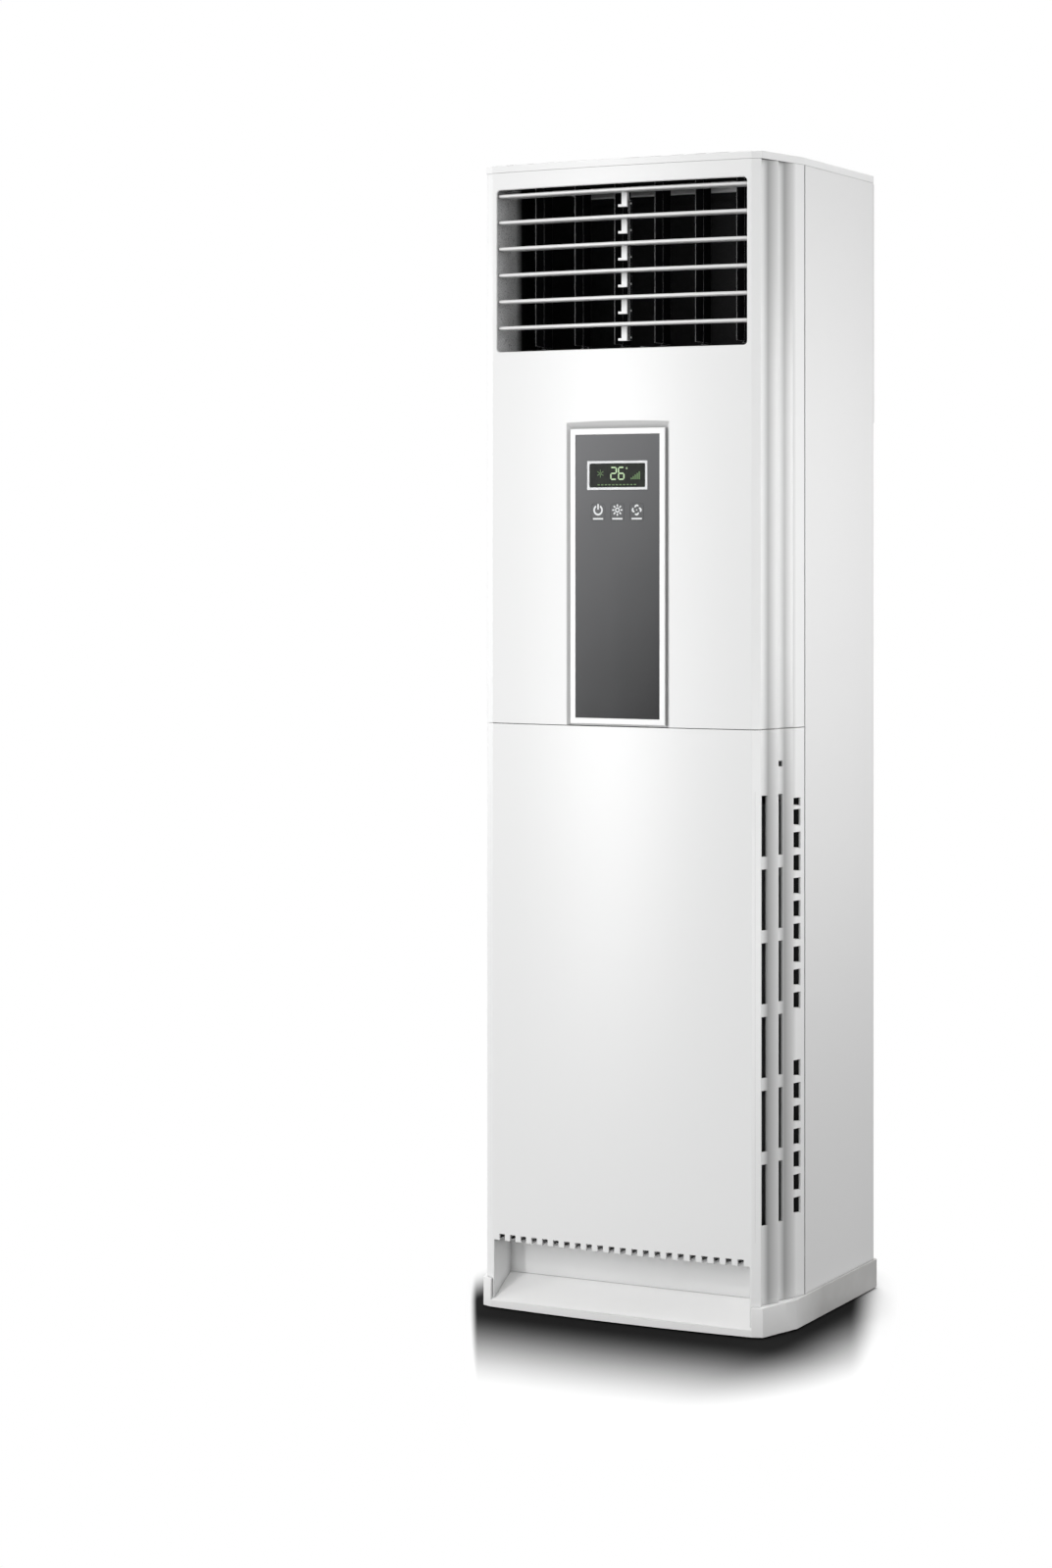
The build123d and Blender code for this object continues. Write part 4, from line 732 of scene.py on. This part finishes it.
def board_lacquer():
    """Green lacquer with the tracks under it."""
    material, tree, shader = new_finish("board_lacquer")
    tracks = cells(tree, place_on(tree, stretch=(1.0, 0.2, 0.3)), 300.0, "DISTANCE_TO_EDGE")
    lines = spread(tree, tracks, 0.05, 0.10, 1.0, 0.0)
    colour(tree, shader, blend(tree, lines, *board_tones))
    gloss(tree, shader, cloud(tree, place_on(tree), scale=90.0), low=0.22, high=0.35)
    relief(tree, shader, lines, depth=0.00008, radius=0.0003)
    return material


finishes["screen"] = crystal_glass()
finishes["board"] = board_lacquer()
print("glass and boards done")

# %% [markdown]
# ## Finishes with one pattern
# On some materials, colour, gloss and relief all follow one pattern. Fins show the
# lines of their stack, a ground shaft has rings, foam has pores, and the zinc on a
# screw is stained. A filter's strands would be tens of thousands of tubes, so two sets
# of crossing lines draw its net. One helper makes all of them from a table.


# %% One-pattern finishes
def patterned(name, draw, tones, metallic, roughness, depth, radius):
    """A finish whose colour, gloss and relief follow one pattern."""
    material, tree, shader = new_finish(name)
    pattern = draw(tree, place_on(tree))
    colour(tree, shader, blend(tree, pattern, *tones))
    tune(shader, {"Metallic": metallic})
    gloss(tree, shader, pattern, *roughness)
    relief(tree, shader, pattern, depth, radius)
    return material


def weave(tree, where):
    """Strands along and across."""
    level, upright = (stripes(tree, where, 130.0, axis) for axis in "ZY")
    return maths(tree, "MAXIMUM", level, upright)


one_pattern = {              # material, pattern, tones, metallic, roughness, relief, edge radius
    "fin": ("fin_stack", lambda *at: stripes(*at, scale=180.0, axis="X"),
            ((0.30, 0.31, 0.32), (0.70, 0.71, 0.72)), 0.8, (0.35, 0.55), 0.0004, 0.0005),
    "steel_shaft": ("ground_shaft", lambda *at: stripes(*at, scale=900.0, axis="Y", distortion=1.5),
                    ((0.42, 0.42, 0.43), (0.60, 0.60, 0.61)), 1.0, (0.2, 0.3), 0.00001, 0.0006),
    "mesh": ("woven_net", weave,
             ((0.004, 0.004, 0.004), (0.05, 0.052, 0.055)), 0.0, (0.5, 0.65), 0.0003, 0.0006),
    "foam": ("black_foam", lambda *at: cells(*at, scale=700.0),
             ((0.006, 0.006, 0.006), (0.03, 0.03, 0.032)), 0.0, (0.85, 0.95), 0.0005, 0.002),
    "screw": ("zinc_screw", lambda *at: cloud(*at, scale=500.0),
              ((0.55, 0.56, 0.57), (0.36, 0.36, 0.37)), 0.9, (0.25, 0.4), 0.00002, 0.0003),
}
for slot, values in one_pattern.items():
    finishes[slot] = patterned(*values)
print("finishes with one pattern:", ", ".join(one_pattern))

# %% [markdown]
# ## Zinc, copper and motor paint
# Zinc coating grows as crystals that each catch the light in their own way. Copper is
# brown where it was held, and the motor's case has thick dark paint, worn at its edges.

# %% Zinc, copper and motor paint
zinc_tones = (0.42, 0.43, 0.44), (0.62, 0.63, 0.64)
copper_tones = (0.66, 0.30, 0.17), (0.36, 0.17, 0.10)
motor_tones = (0.07, 0.072, 0.078), (0.11, 0.112, 0.12)
motor_edge = (0.3, 0.3, 0.31)


def zinc_coat():
    """Galvanised sheet with its crystals."""
    material, tree, shader = new_finish("zinc_coat")
    where = place_on(tree)
    crystals = flecks(tree, where, scale=90.0)
    colour(tree, shader, blend(tree, crystals, *zinc_tones))
    tune(shader, {"Metallic": 0.85})
    gloss(tree, shader, crystals, low=0.32, high=0.5)
    relief(tree, shader, cloud(tree, where, scale=200.0), depth=0.00003, radius=0.0006)
    return material


def handled_copper():
    """Copper tube, brown where it was held."""
    material, tree, shader = new_finish("handled_copper")
    stain = cloud(tree, place_on(tree), scale=28.0, detail=6.0)
    colour(tree, shader, blend(tree, spread(tree, stain, 0.4, 0.65), *copper_tones))
    tune(shader, {"Metallic": 1.0})
    gloss(tree, shader, stain, low=0.22, high=0.42)
    drawn = cloud(tree, place_on(tree, stretch=(1, 1, 0.1)), scale=500.0)
    relief(tree, shader, drawn, depth=0.00003, radius=0.0025)
    return material


def motor_paint():
    """Thick dark paint over a pressed motor case."""
    material, tree, shader = new_finish("motor_paint")
    lumps = cloud(tree, place_on(tree), scale=220.0)
    rims = edges(tree, radius=0.001)
    body = blend(tree, lumps, *motor_tones)
    colour(tree, shader, blend(tree, rims, body, motor_edge))
    tune(shader, {"Metallic": 0.3})
    gloss(tree, shader, lumps, low=0.35, high=0.5)
    relief(tree, shader, lumps, depth=0.0001, radius=0.001)
    return material


finishes["galvanised"] = zinc_coat()
finishes["copper"] = handled_copper()
finishes["motor_metal"] = motor_paint()
print("finishes:", len(finishes))

# %% [markdown]
# ## Dress the carried-over pieces
# The record says which finish each piece has. A piece's shape stays the model's own:
# only the material in its slots changes. The three pieces that have saw-tooth columns
# get the white with painted shade in its folds.

# %% Put the finishes on
folded_pieces = "upper_front_panel", "left_intake_grille", "right_intake_grille"

for part in frame["record"]["subparts"]:
    piece = frame["nodes"][part["node"]]
    finish = finishes["folded_shell" if part["node"] in folded_pieces else part["material_slot"]]
    if not piece.data.materials:
        piece.data.materials.append(None)
    for index in range(len(piece.data.materials)):
        piece.data.materials[index] = finish
print("dressed:", len(frame["nodes"]), "pieces")

# %% [markdown]
# ## Flat shapes for the display
# Digits, symbols and bars are thin raised prints. A text object would bring a font
# and soft outlines, so each is a thin closed slab from an outline of places in x and z.

# %% Slabs from outlines
print_depth = 0.00012        # how far a print stands proud


def slab(bm, outline, front_y, depth=print_depth):
    """Closed slab from an outline, from front_y back by depth."""
    rings = [[bm.verts.new((x, y, z)) for x, z in outline] for y in (front_y, front_y + depth)]
    bm.faces.new(rings[0])
    bm.faces.new(reversed(rings[1]))
    for a in range(len(outline)):
        b = (a + 1) % len(outline)
        bm.faces.new((rings[0][a], rings[1][a], rings[1][b], rings[0][b]))


def rectangle(left, low, right, high):
    """Outline of an upright rectangle."""
    return [(left, low), (right, low), (right, high), (left, high)]


def on_circle(centre, radius, angle):
    """Point on a circle, at an angle in degrees."""
    return (centre[0] + radius * cos(radians(angle)), centre[1] + radius * sin(radians(angle)))


def arc_band(centre, inner, outer, start, end, steps=24):
    """Outline of a band between two radii, from start to end in degrees."""
    angles = [start + (end - start) * i / steps for i in range(steps + 1)]
    out = [on_circle(centre, outer, angle) for angle in angles]
    back = [on_circle(centre, inner, angle) for angle in reversed(angles)]
    return out + back


def strip(centre, angle, start, end, width):
    """Outline of a straight bar that points away from a centre."""
    along = Vector((cos(radians(angle)), sin(radians(angle))))
    side = Vector((-along.y, along.x)) * width / 2
    middle = Vector(centre)
    corners = [along * start - side, along * end - side, along * end + side, along * start + side]
    return [tuple(middle + corner) for corner in corners]


print("prints stand", print_depth * 1000, "mm proud")

# %% [markdown]
# ## Adding a piece
# A new piece needs a mesh, a name and a material. It also needs the moving body that
# carries it, or it would stay behind when a key is pressed.

# %% Pieces and printed finishes
def add_piece(name, bm, body, material):
    """Finishes a mesh, names it, and lets it ride on a body."""
    bmesh.ops.recalc_face_normals(bm, faces=bm.faces)
    mesh = bpy.data.meshes.new(name)
    bm.to_mesh(mesh)
    bm.free()
    mesh.materials.append(material)
    piece = bpy.data.objects.new(name, mesh)
    bpy.context.scene.collection.objects.link(piece)
    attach(piece, body)


def printed(name, tone, shine):
    """Ink or lit crystal: even, but slightly mottled."""
    material, tree, shader = new_finish(name)
    mottle = cloud(tree, place_on(tree), scale=700.0)
    colour(tree, shader, blend(tree, mottle, tone, dimmed(tone, 0.8)))
    tune(shader, {"Emission Color": (*tone, 1), "Emission Strength": shine})
    gloss(tree, shader, mottle, low=0.4, high=0.5)
    return material


white_ink = printed("white_ink", (0.92, 0.93, 0.94), shine=0.0)
lit_crystal = printed("lit_crystal", (0.50, 0.68, 0.40), shine=0.30)
# The marks' faint shine is a painted glow.
dim_crystal = printed("dim_crystal", (0.10, 0.20, 0.06), shine=0.10)
print("printed finishes: ink, lit crystal and dim crystal")

# %% [markdown]
# ## The number on the screen
# Such a screen shows the set temperature. The digits are drawn as real glass draws them:
# six-sided segments with pointed ends, and small gaps between them.

# %% Screen digits
screen_low, screen_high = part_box("lcd_window")
screen_middle = (screen_low + screen_high) / 2
screen_face = screen_low.y - print_depth
digit_size = (0.0095, 0.0185)
digit_pitch = 0.0135
digit_lift = 0.003           # digits above the screen's middle
segment_width = 0.0021
segment_gap = 0.0004
degree_ring = (0.0008, 0.0015)     # inner and outer radius
degree_offset = (0.001, -0.0012)   # from the corner of a third digit
shown_number = "26"
lit_segments = {"2": "abged", "6": "afgedc"}


def segment_line(kind, left, low):
    """Ends of one segment of a digit whose lower left corner is given."""
    width, height = digit_size
    x0, x1 = left, left + width
    z0, z1, z2 = low, low + height / 2, low + height
    ends = {"a": ((x0, z2), (x1, z2)), "b": ((x1, z1), (x1, z2)), "c": ((x1, z0), (x1, z1)),
            "d": ((x0, z0), (x1, z0)), "e": ((x0, z0), (x0, z1)), "f": ((x0, z1), (x0, z2)),
            "g": ((x0, z1), (x1, z1))}
    return ends[kind]


def segment(kind, left, low):
    """Six-sided outline of one segment."""
    a, b = (Vector(end) for end in segment_line(kind, left, low))
    along = (b - a).normalized()
    side = Vector((-along.y, along.x)) * segment_width / 2
    a += along * segment_gap
    b -= along * segment_gap
    point = along * segment_width / 2
    lower, upper = [a + point - side, b - point - side], [b - point + side, a + point + side]
    return [tuple(corner) for corner in (a, *lower, b, *upper)]


digits = bmesh.new()
first_left = screen_middle.x - (digit_pitch * (len(shown_number) - 1) + digit_size[0]) / 2
digit_low = screen_middle.z - digit_size[1] / 2 + digit_lift
for place, digit in enumerate(shown_number):
    for kind in lit_segments[digit]:
        slab(digits, segment(kind, first_left + place * digit_pitch, digit_low), screen_face)
degree_centre = (first_left + len(shown_number) * digit_pitch + degree_offset[0],
                 digit_low + digit_size[1] + degree_offset[1])
slab(digits, arc_band(degree_centre, *degree_ring, start=0, end=345, steps=16), screen_face)
add_piece("screen_digits", digits, "cabinet", lit_crystal)
print("screen shows", shown_number)

# %% [markdown]
# ## The marks on the screen
# The mode's snow star lies on the left, the fan's rising bars on the right, and a dashed
# line runs below. Unlit, they are dimmer than the number, yet have a faint painted glow.

# %% Screen marks
snow_place = (-0.030, 0.003)               # from the screen's middle
snow_arm = (0.0008, 0.0062, 0.0010)        # start, end and width
fan_bars = 5
fan_start, fan_foot = 0.0235, -0.0065      # from the screen's middle
fan_pitch, fan_width = 0.0035, 0.0022
fan_top, fan_rise = -0.004, 0.0024         # first bar's top, and each further one's rise
dashes = 11
dash_start, dash_pitch, dash_width = -0.035, 0.0064, 0.0040
dash_low, dash_high = 0.003, 0.0046        # from the screen's lower edge

marks = bmesh.new()
snow_centre = (screen_middle.x + snow_place[0], screen_middle.z + snow_place[1])
for turn in range(6):
    slab(marks, strip(snow_centre, 60 * turn + 30, *snow_arm), screen_face)
for step in range(fan_bars):
    left = screen_middle.x + fan_start + fan_pitch * step
    top = screen_middle.z + fan_top + fan_rise * step
    slab(marks, rectangle(left, screen_middle.z + fan_foot, left + fan_width, top), screen_face)
for step in range(dashes):
    left = screen_middle.x + dash_start + dash_pitch * step
    outline = rectangle(left, screen_low.z + dash_low, left + dash_width, screen_low.z + dash_high)
    slab(marks, outline, screen_face)
add_piece("screen_marks", marks, "cabinet", dim_crystal)
print("marks:", fan_bars, "fan bars and", dashes, "dashes")

# %% [markdown]
# ## Signs on the keys
# The three keys are told apart by plain signs: a ring with a stroke for power, rays for
# the mode and four curved blades for the fan. A short bar lies under each. They ride on
# their keys, so they go in when a key is pressed.

# %% Key signs
sign_lift = 0.0034           # sign above the key's middle
sign_scale = 1.62            # of the radii and widths below
power_ring, power_turn = (0.0034, 0.0052), (120, 420)
power_start, power_end, power_width = 0.0008, 0.0060, 0.0016
mode_ring, mode_turn = (0.0013, 0.0025), (0, 355)
mode_rays, mode_ray = 8, (0.0033, 0.0056, 0.0015)
hub_radius, hub_step = 0.0010, 20          # not scaled; degrees between the hub's corners
blade_reach, blade_ring, blade_turn = 0.0030, (0.0006, 0.0024), (-70, 110)
bar_drop = 0.0090            # bar below the middle
bar_size = (0.0180, 0.0026)


def scaled(values):
    """Sizes on the drawing, as large as the signs are."""
    return [value * sign_scale for value in values]


def power_sign(bm, centre, face):
    """Broken ring with a stroke through its gap."""
    slab(bm, arc_band(centre, *scaled(power_ring), *power_turn), face)
    slab(bm, strip(centre, 90, power_start, *scaled((power_end, power_width))), face)


def mode_sign(bm, centre, face):
    """Ring with eight rays."""
    slab(bm, arc_band(centre, *scaled(mode_ring), *mode_turn), face)
    for ray in range(mode_rays):
        slab(bm, strip(centre, 360 / mode_rays * ray, *scaled(mode_ray)), face)


def fan_sign(bm, centre, face):
    """Four curved blades round a hub."""
    slab(bm, [on_circle(centre, hub_radius, angle) for angle in range(0, 360, hub_step)], face)
    for turn in (0, 90, 180, 270):
        hook = on_circle(centre, blade_reach * sign_scale, turn)
        start, end = (turn + swing for swing in blade_turn)
        slab(bm, arc_band(hook, *scaled(blade_ring), start, end, steps=14), face)


for key, draw in (("power", power_sign), ("mode", mode_sign), ("fan", fan_sign)):
    key_low, key_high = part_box(f"{key}_button")
    middle = (key_low + key_high) / 2
    face = key_low.y - print_depth
    sign = bmesh.new()
    draw(sign, (middle.x, middle.z + sign_lift), face)
    half = bar_size[0] / 2
    bar_top = middle.z - bar_drop
    slab(sign, rectangle(middle.x - half, bar_top - bar_size[1], middle.x + half, bar_top), face)
    add_piece(f"{key}_sign", sign, f"{key}_key", white_ink)
print("signs on 3 keys")

# %% [markdown]
# ## Screws
# Sheet steel is held by pan-head screws with a cross recess. One head is modelled once,
# as rings under a low dome with the cross sunk into it, and set wherever a screw goes.

# %% One screw head, set many times
head_sides = 20
head_rings = ((1.0, 0.0), (1.0, 0.35), (0.90, 0.70), (0.72, 1.0))   # radius, height: of the head's
cross_arm = (0.16, 0.52)     # half width and reach of the cross, of the head's radius
cross_depth = 0.6            # of the head's height
cross_taper = 0.8            # the cross at its floor, of that at its rim


def screw_head(bm, place, direction, radius, height):
    """Pan head with a cross recess, standing on a surface that faces direction."""
    turned = Vector(direction).to_track_quat("Z", "Y").to_matrix().to_4x4()
    stand = Matrix.Translation(place) @ turned
    turns = [a * 2 * pi / head_sides for a in range(head_sides)]
    rings = []
    for share, level in head_rings:
        points = [(share * radius * cos(turn), share * radius * sin(turn)) for turn in turns]
        rings.append([bm.verts.new(stand @ Vector((x, y, level * height))) for x, y in points])
    for low, high in zip(rings, rings[1:]):
        for a in range(head_sides):
            b = (a + 1) % head_sides
            bm.faces.new((low[a], low[b], high[b], high[a]))
    bm.faces.new(list(reversed(rings[0])))
    half, reach = (share * radius for share in cross_arm)
    quarter = [(reach, -half), (reach, half), (half, half)]
    cross = [(x * cos(t) - y * sin(t), x * sin(t) + y * cos(t))
             for t in (0, pi / 2, pi, 3 * pi / 2) for x, y in quarter]
    floor = height * (1 - cross_depth)
    rim, pit = ([bm.verts.new(stand @ Vector((share * x, share * y, level))) for x, y in cross]
                for share, level in ((1, height), (cross_taper, floor)))
    top = rings[-1]
    bounds = [bm.edges.get((a, b)) for a, b in zip(top, top[1:] + top[:1])]
    bounds += [bm.edges.new((a, b)) for a, b in zip(rim, rim[1:] + rim[:1])]
    bmesh.ops.triangle_fill(bm, use_beauty=True, edges=bounds)
    for a in range(len(rim)):
        b = (a + 1) % len(rim)
        bm.faces.new((rim[a], rim[b], pit[b], pit[a]))
    bm.faces.new(pit)


def set_screws(name, places, direction, radius, height):
    """A group of like screw heads on the cabinet."""
    heads = bmesh.new()
    for place in places:
        screw_head(heads, place, direction, radius, height)
    add_piece(name, heads, "cabinet", finishes["screw"])


print("screw head:", len(head_rings), "rings")

# %% [markdown]
# ## Where the screws go
# The side panels wrap round the back over the rear panel, and a row of screws goes
# through each wrap. The control box's lid has one screw in each corner, the fan motor
# one in each ear, and the anti-tip strap one at each end.

# %% Screws on the back and inside
backwards, forwards = (0, 1, 0), (0, -1, 0)
wrap_inset = 0.0125          # case's side to the screws
screw_rows = 8
end_inset = 0.035            # panel's ends to the outer screws
lid_inset = 0.008            # edges of the lid and of the strap to the screws
strap_sheet = 0.0015
ear_reach, ear_sheet = 0.069, 0.003

side_low, side_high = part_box("right_side_panel")
row_step = (side_high.z - side_low.z - 2 * end_inset) / (screw_rows - 1)
wrap_places = [
    (side * (side_high.x - wrap_inset), side_high.y, side_low.z + end_inset + row * row_step)
    for side in (-1, 1) for row in range(screw_rows)
]
set_screws("rear_screws", wrap_places, backwards, radius=0.0042, height=0.0022)

lid_low, lid_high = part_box("control_box_cover")
lid_places = [(x, lid_low.y, z) for x in (lid_low.x + lid_inset, lid_high.x - lid_inset)
              for z in (lid_low.z + lid_inset, lid_high.z - lid_inset)]
set_screws("lid_screws", lid_places, forwards, radius=0.0035, height=0.0018)

strap_low, strap_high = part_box("wall_bracket")
strap_places = [(x, strap_low.y + strap_sheet, (strap_low.z + strap_high.z) / 2)
                for x in (strap_low.x + lid_inset, strap_high.x - lid_inset)]
set_screws("strap_screws", strap_places, backwards, radius=0.0038, height=0.0018)

motor_low, motor_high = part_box("fan_motor")
motor_middle = (motor_low + motor_high) / 2
motor_places = []
for turn in (pi / 4, 3 * pi / 4, 5 * pi / 4, 7 * pi / 4):
    across, up = ear_reach * cos(turn), ear_reach * sin(turn)
    motor_places.append((motor_middle.x + across, motor_low.y + ear_sheet, motor_middle.z + up))
set_screws("motor_screws", motor_places, backwards, radius=0.0038, height=0.0020)
print("screws:", len(wrap_places + lid_places + strap_places + motor_places))

# %% [markdown]
# ## Painted shade behind the windows
# Each slotted column has a strip of black foam on its return, right behind the row of
# windows, as painted shade: it is why the windows look black. The strips ride on the
# lower panel and come off with it.

# %% Painted shade behind the windows
# black strips as painted shade behind each row of windows
shade_strip_thickness = 0.0006
shade_strip_width = 0.020
sheet_gap = 0.0001            # return to the strip
return_face = 0.003          # column's rear face to the inner face of its return
wall_thickness = 0.0036      # column's side to the seal's edge
shade_strip_margin = 0.02           # column's top and bottom to the seal's ends


def box_strip(bm, low, high):
    """Closed block between two corners."""
    slab(bm, rectangle(low[0], low[2], high[0], high[2]), low[1], high[1] - low[1])


shade_strips = bmesh.new()
for side in ("left", "right"):
    case_low, case_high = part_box(f"{side}_intake_grille")
    rear = case_high.y - return_face
    left, right = case_low.x + wall_thickness, case_low.x + wall_thickness + shade_strip_width
    if side == "right":
        left, right = case_high.x - wall_thickness - shade_strip_width, case_high.x - wall_thickness
    box_strip(shade_strips, (left, rear - shade_strip_thickness, case_low.z + shade_strip_margin),
              (right, rear - sheet_gap, case_high.z - shade_strip_margin))
add_piece("window_shade_strips", shade_strips, "lower_panel", finishes["foam"])
print("seals are", shade_strip_width * 1000, "mm wide")

# %% [markdown]
# ## Foam lining round the outlet
# Thin black foam lines the cabinet round the outlet as painted shade, so that nothing
# pale shows between the vanes.

# %% Painted shade in the cabinet
shade_sheet_thickness = 0.0006
shade_sheet_low = 1.42            # floor to the sheets' lower edge
shade_sheet_gap = 0.002           # sheets to the duct and to the cover
panel_wall = 0.0011          # side panel's outer face to the sheets
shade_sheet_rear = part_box("rear_panel")[0].y - sheet_gap
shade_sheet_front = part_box("outlet_duct")[1].y + shade_sheet_gap
shade_sheet_high = side_high.z - shade_sheet_gap
shade_sheet_x = side_high.x - panel_wall

shade_sheet = bmesh.new()
for left, right in ((-shade_sheet_x, shade_sheet_thickness - shade_sheet_x), (shade_sheet_x - shade_sheet_thickness, shade_sheet_x)):
    box_strip(shade_sheet, (left, shade_sheet_front, shade_sheet_low),
              (right, shade_sheet_rear - 2 * shade_sheet_thickness, shade_sheet_high))
box_strip(shade_sheet, (-shade_sheet_x, shade_sheet_rear - shade_sheet_thickness, shade_sheet_low),
          (shade_sheet_x, shade_sheet_rear, shade_sheet_high))
add_piece("cabinet_shade_sheet", shade_sheet, "cabinet", finishes["foam"])
print("the lining starts", shade_sheet_low, "metres up")
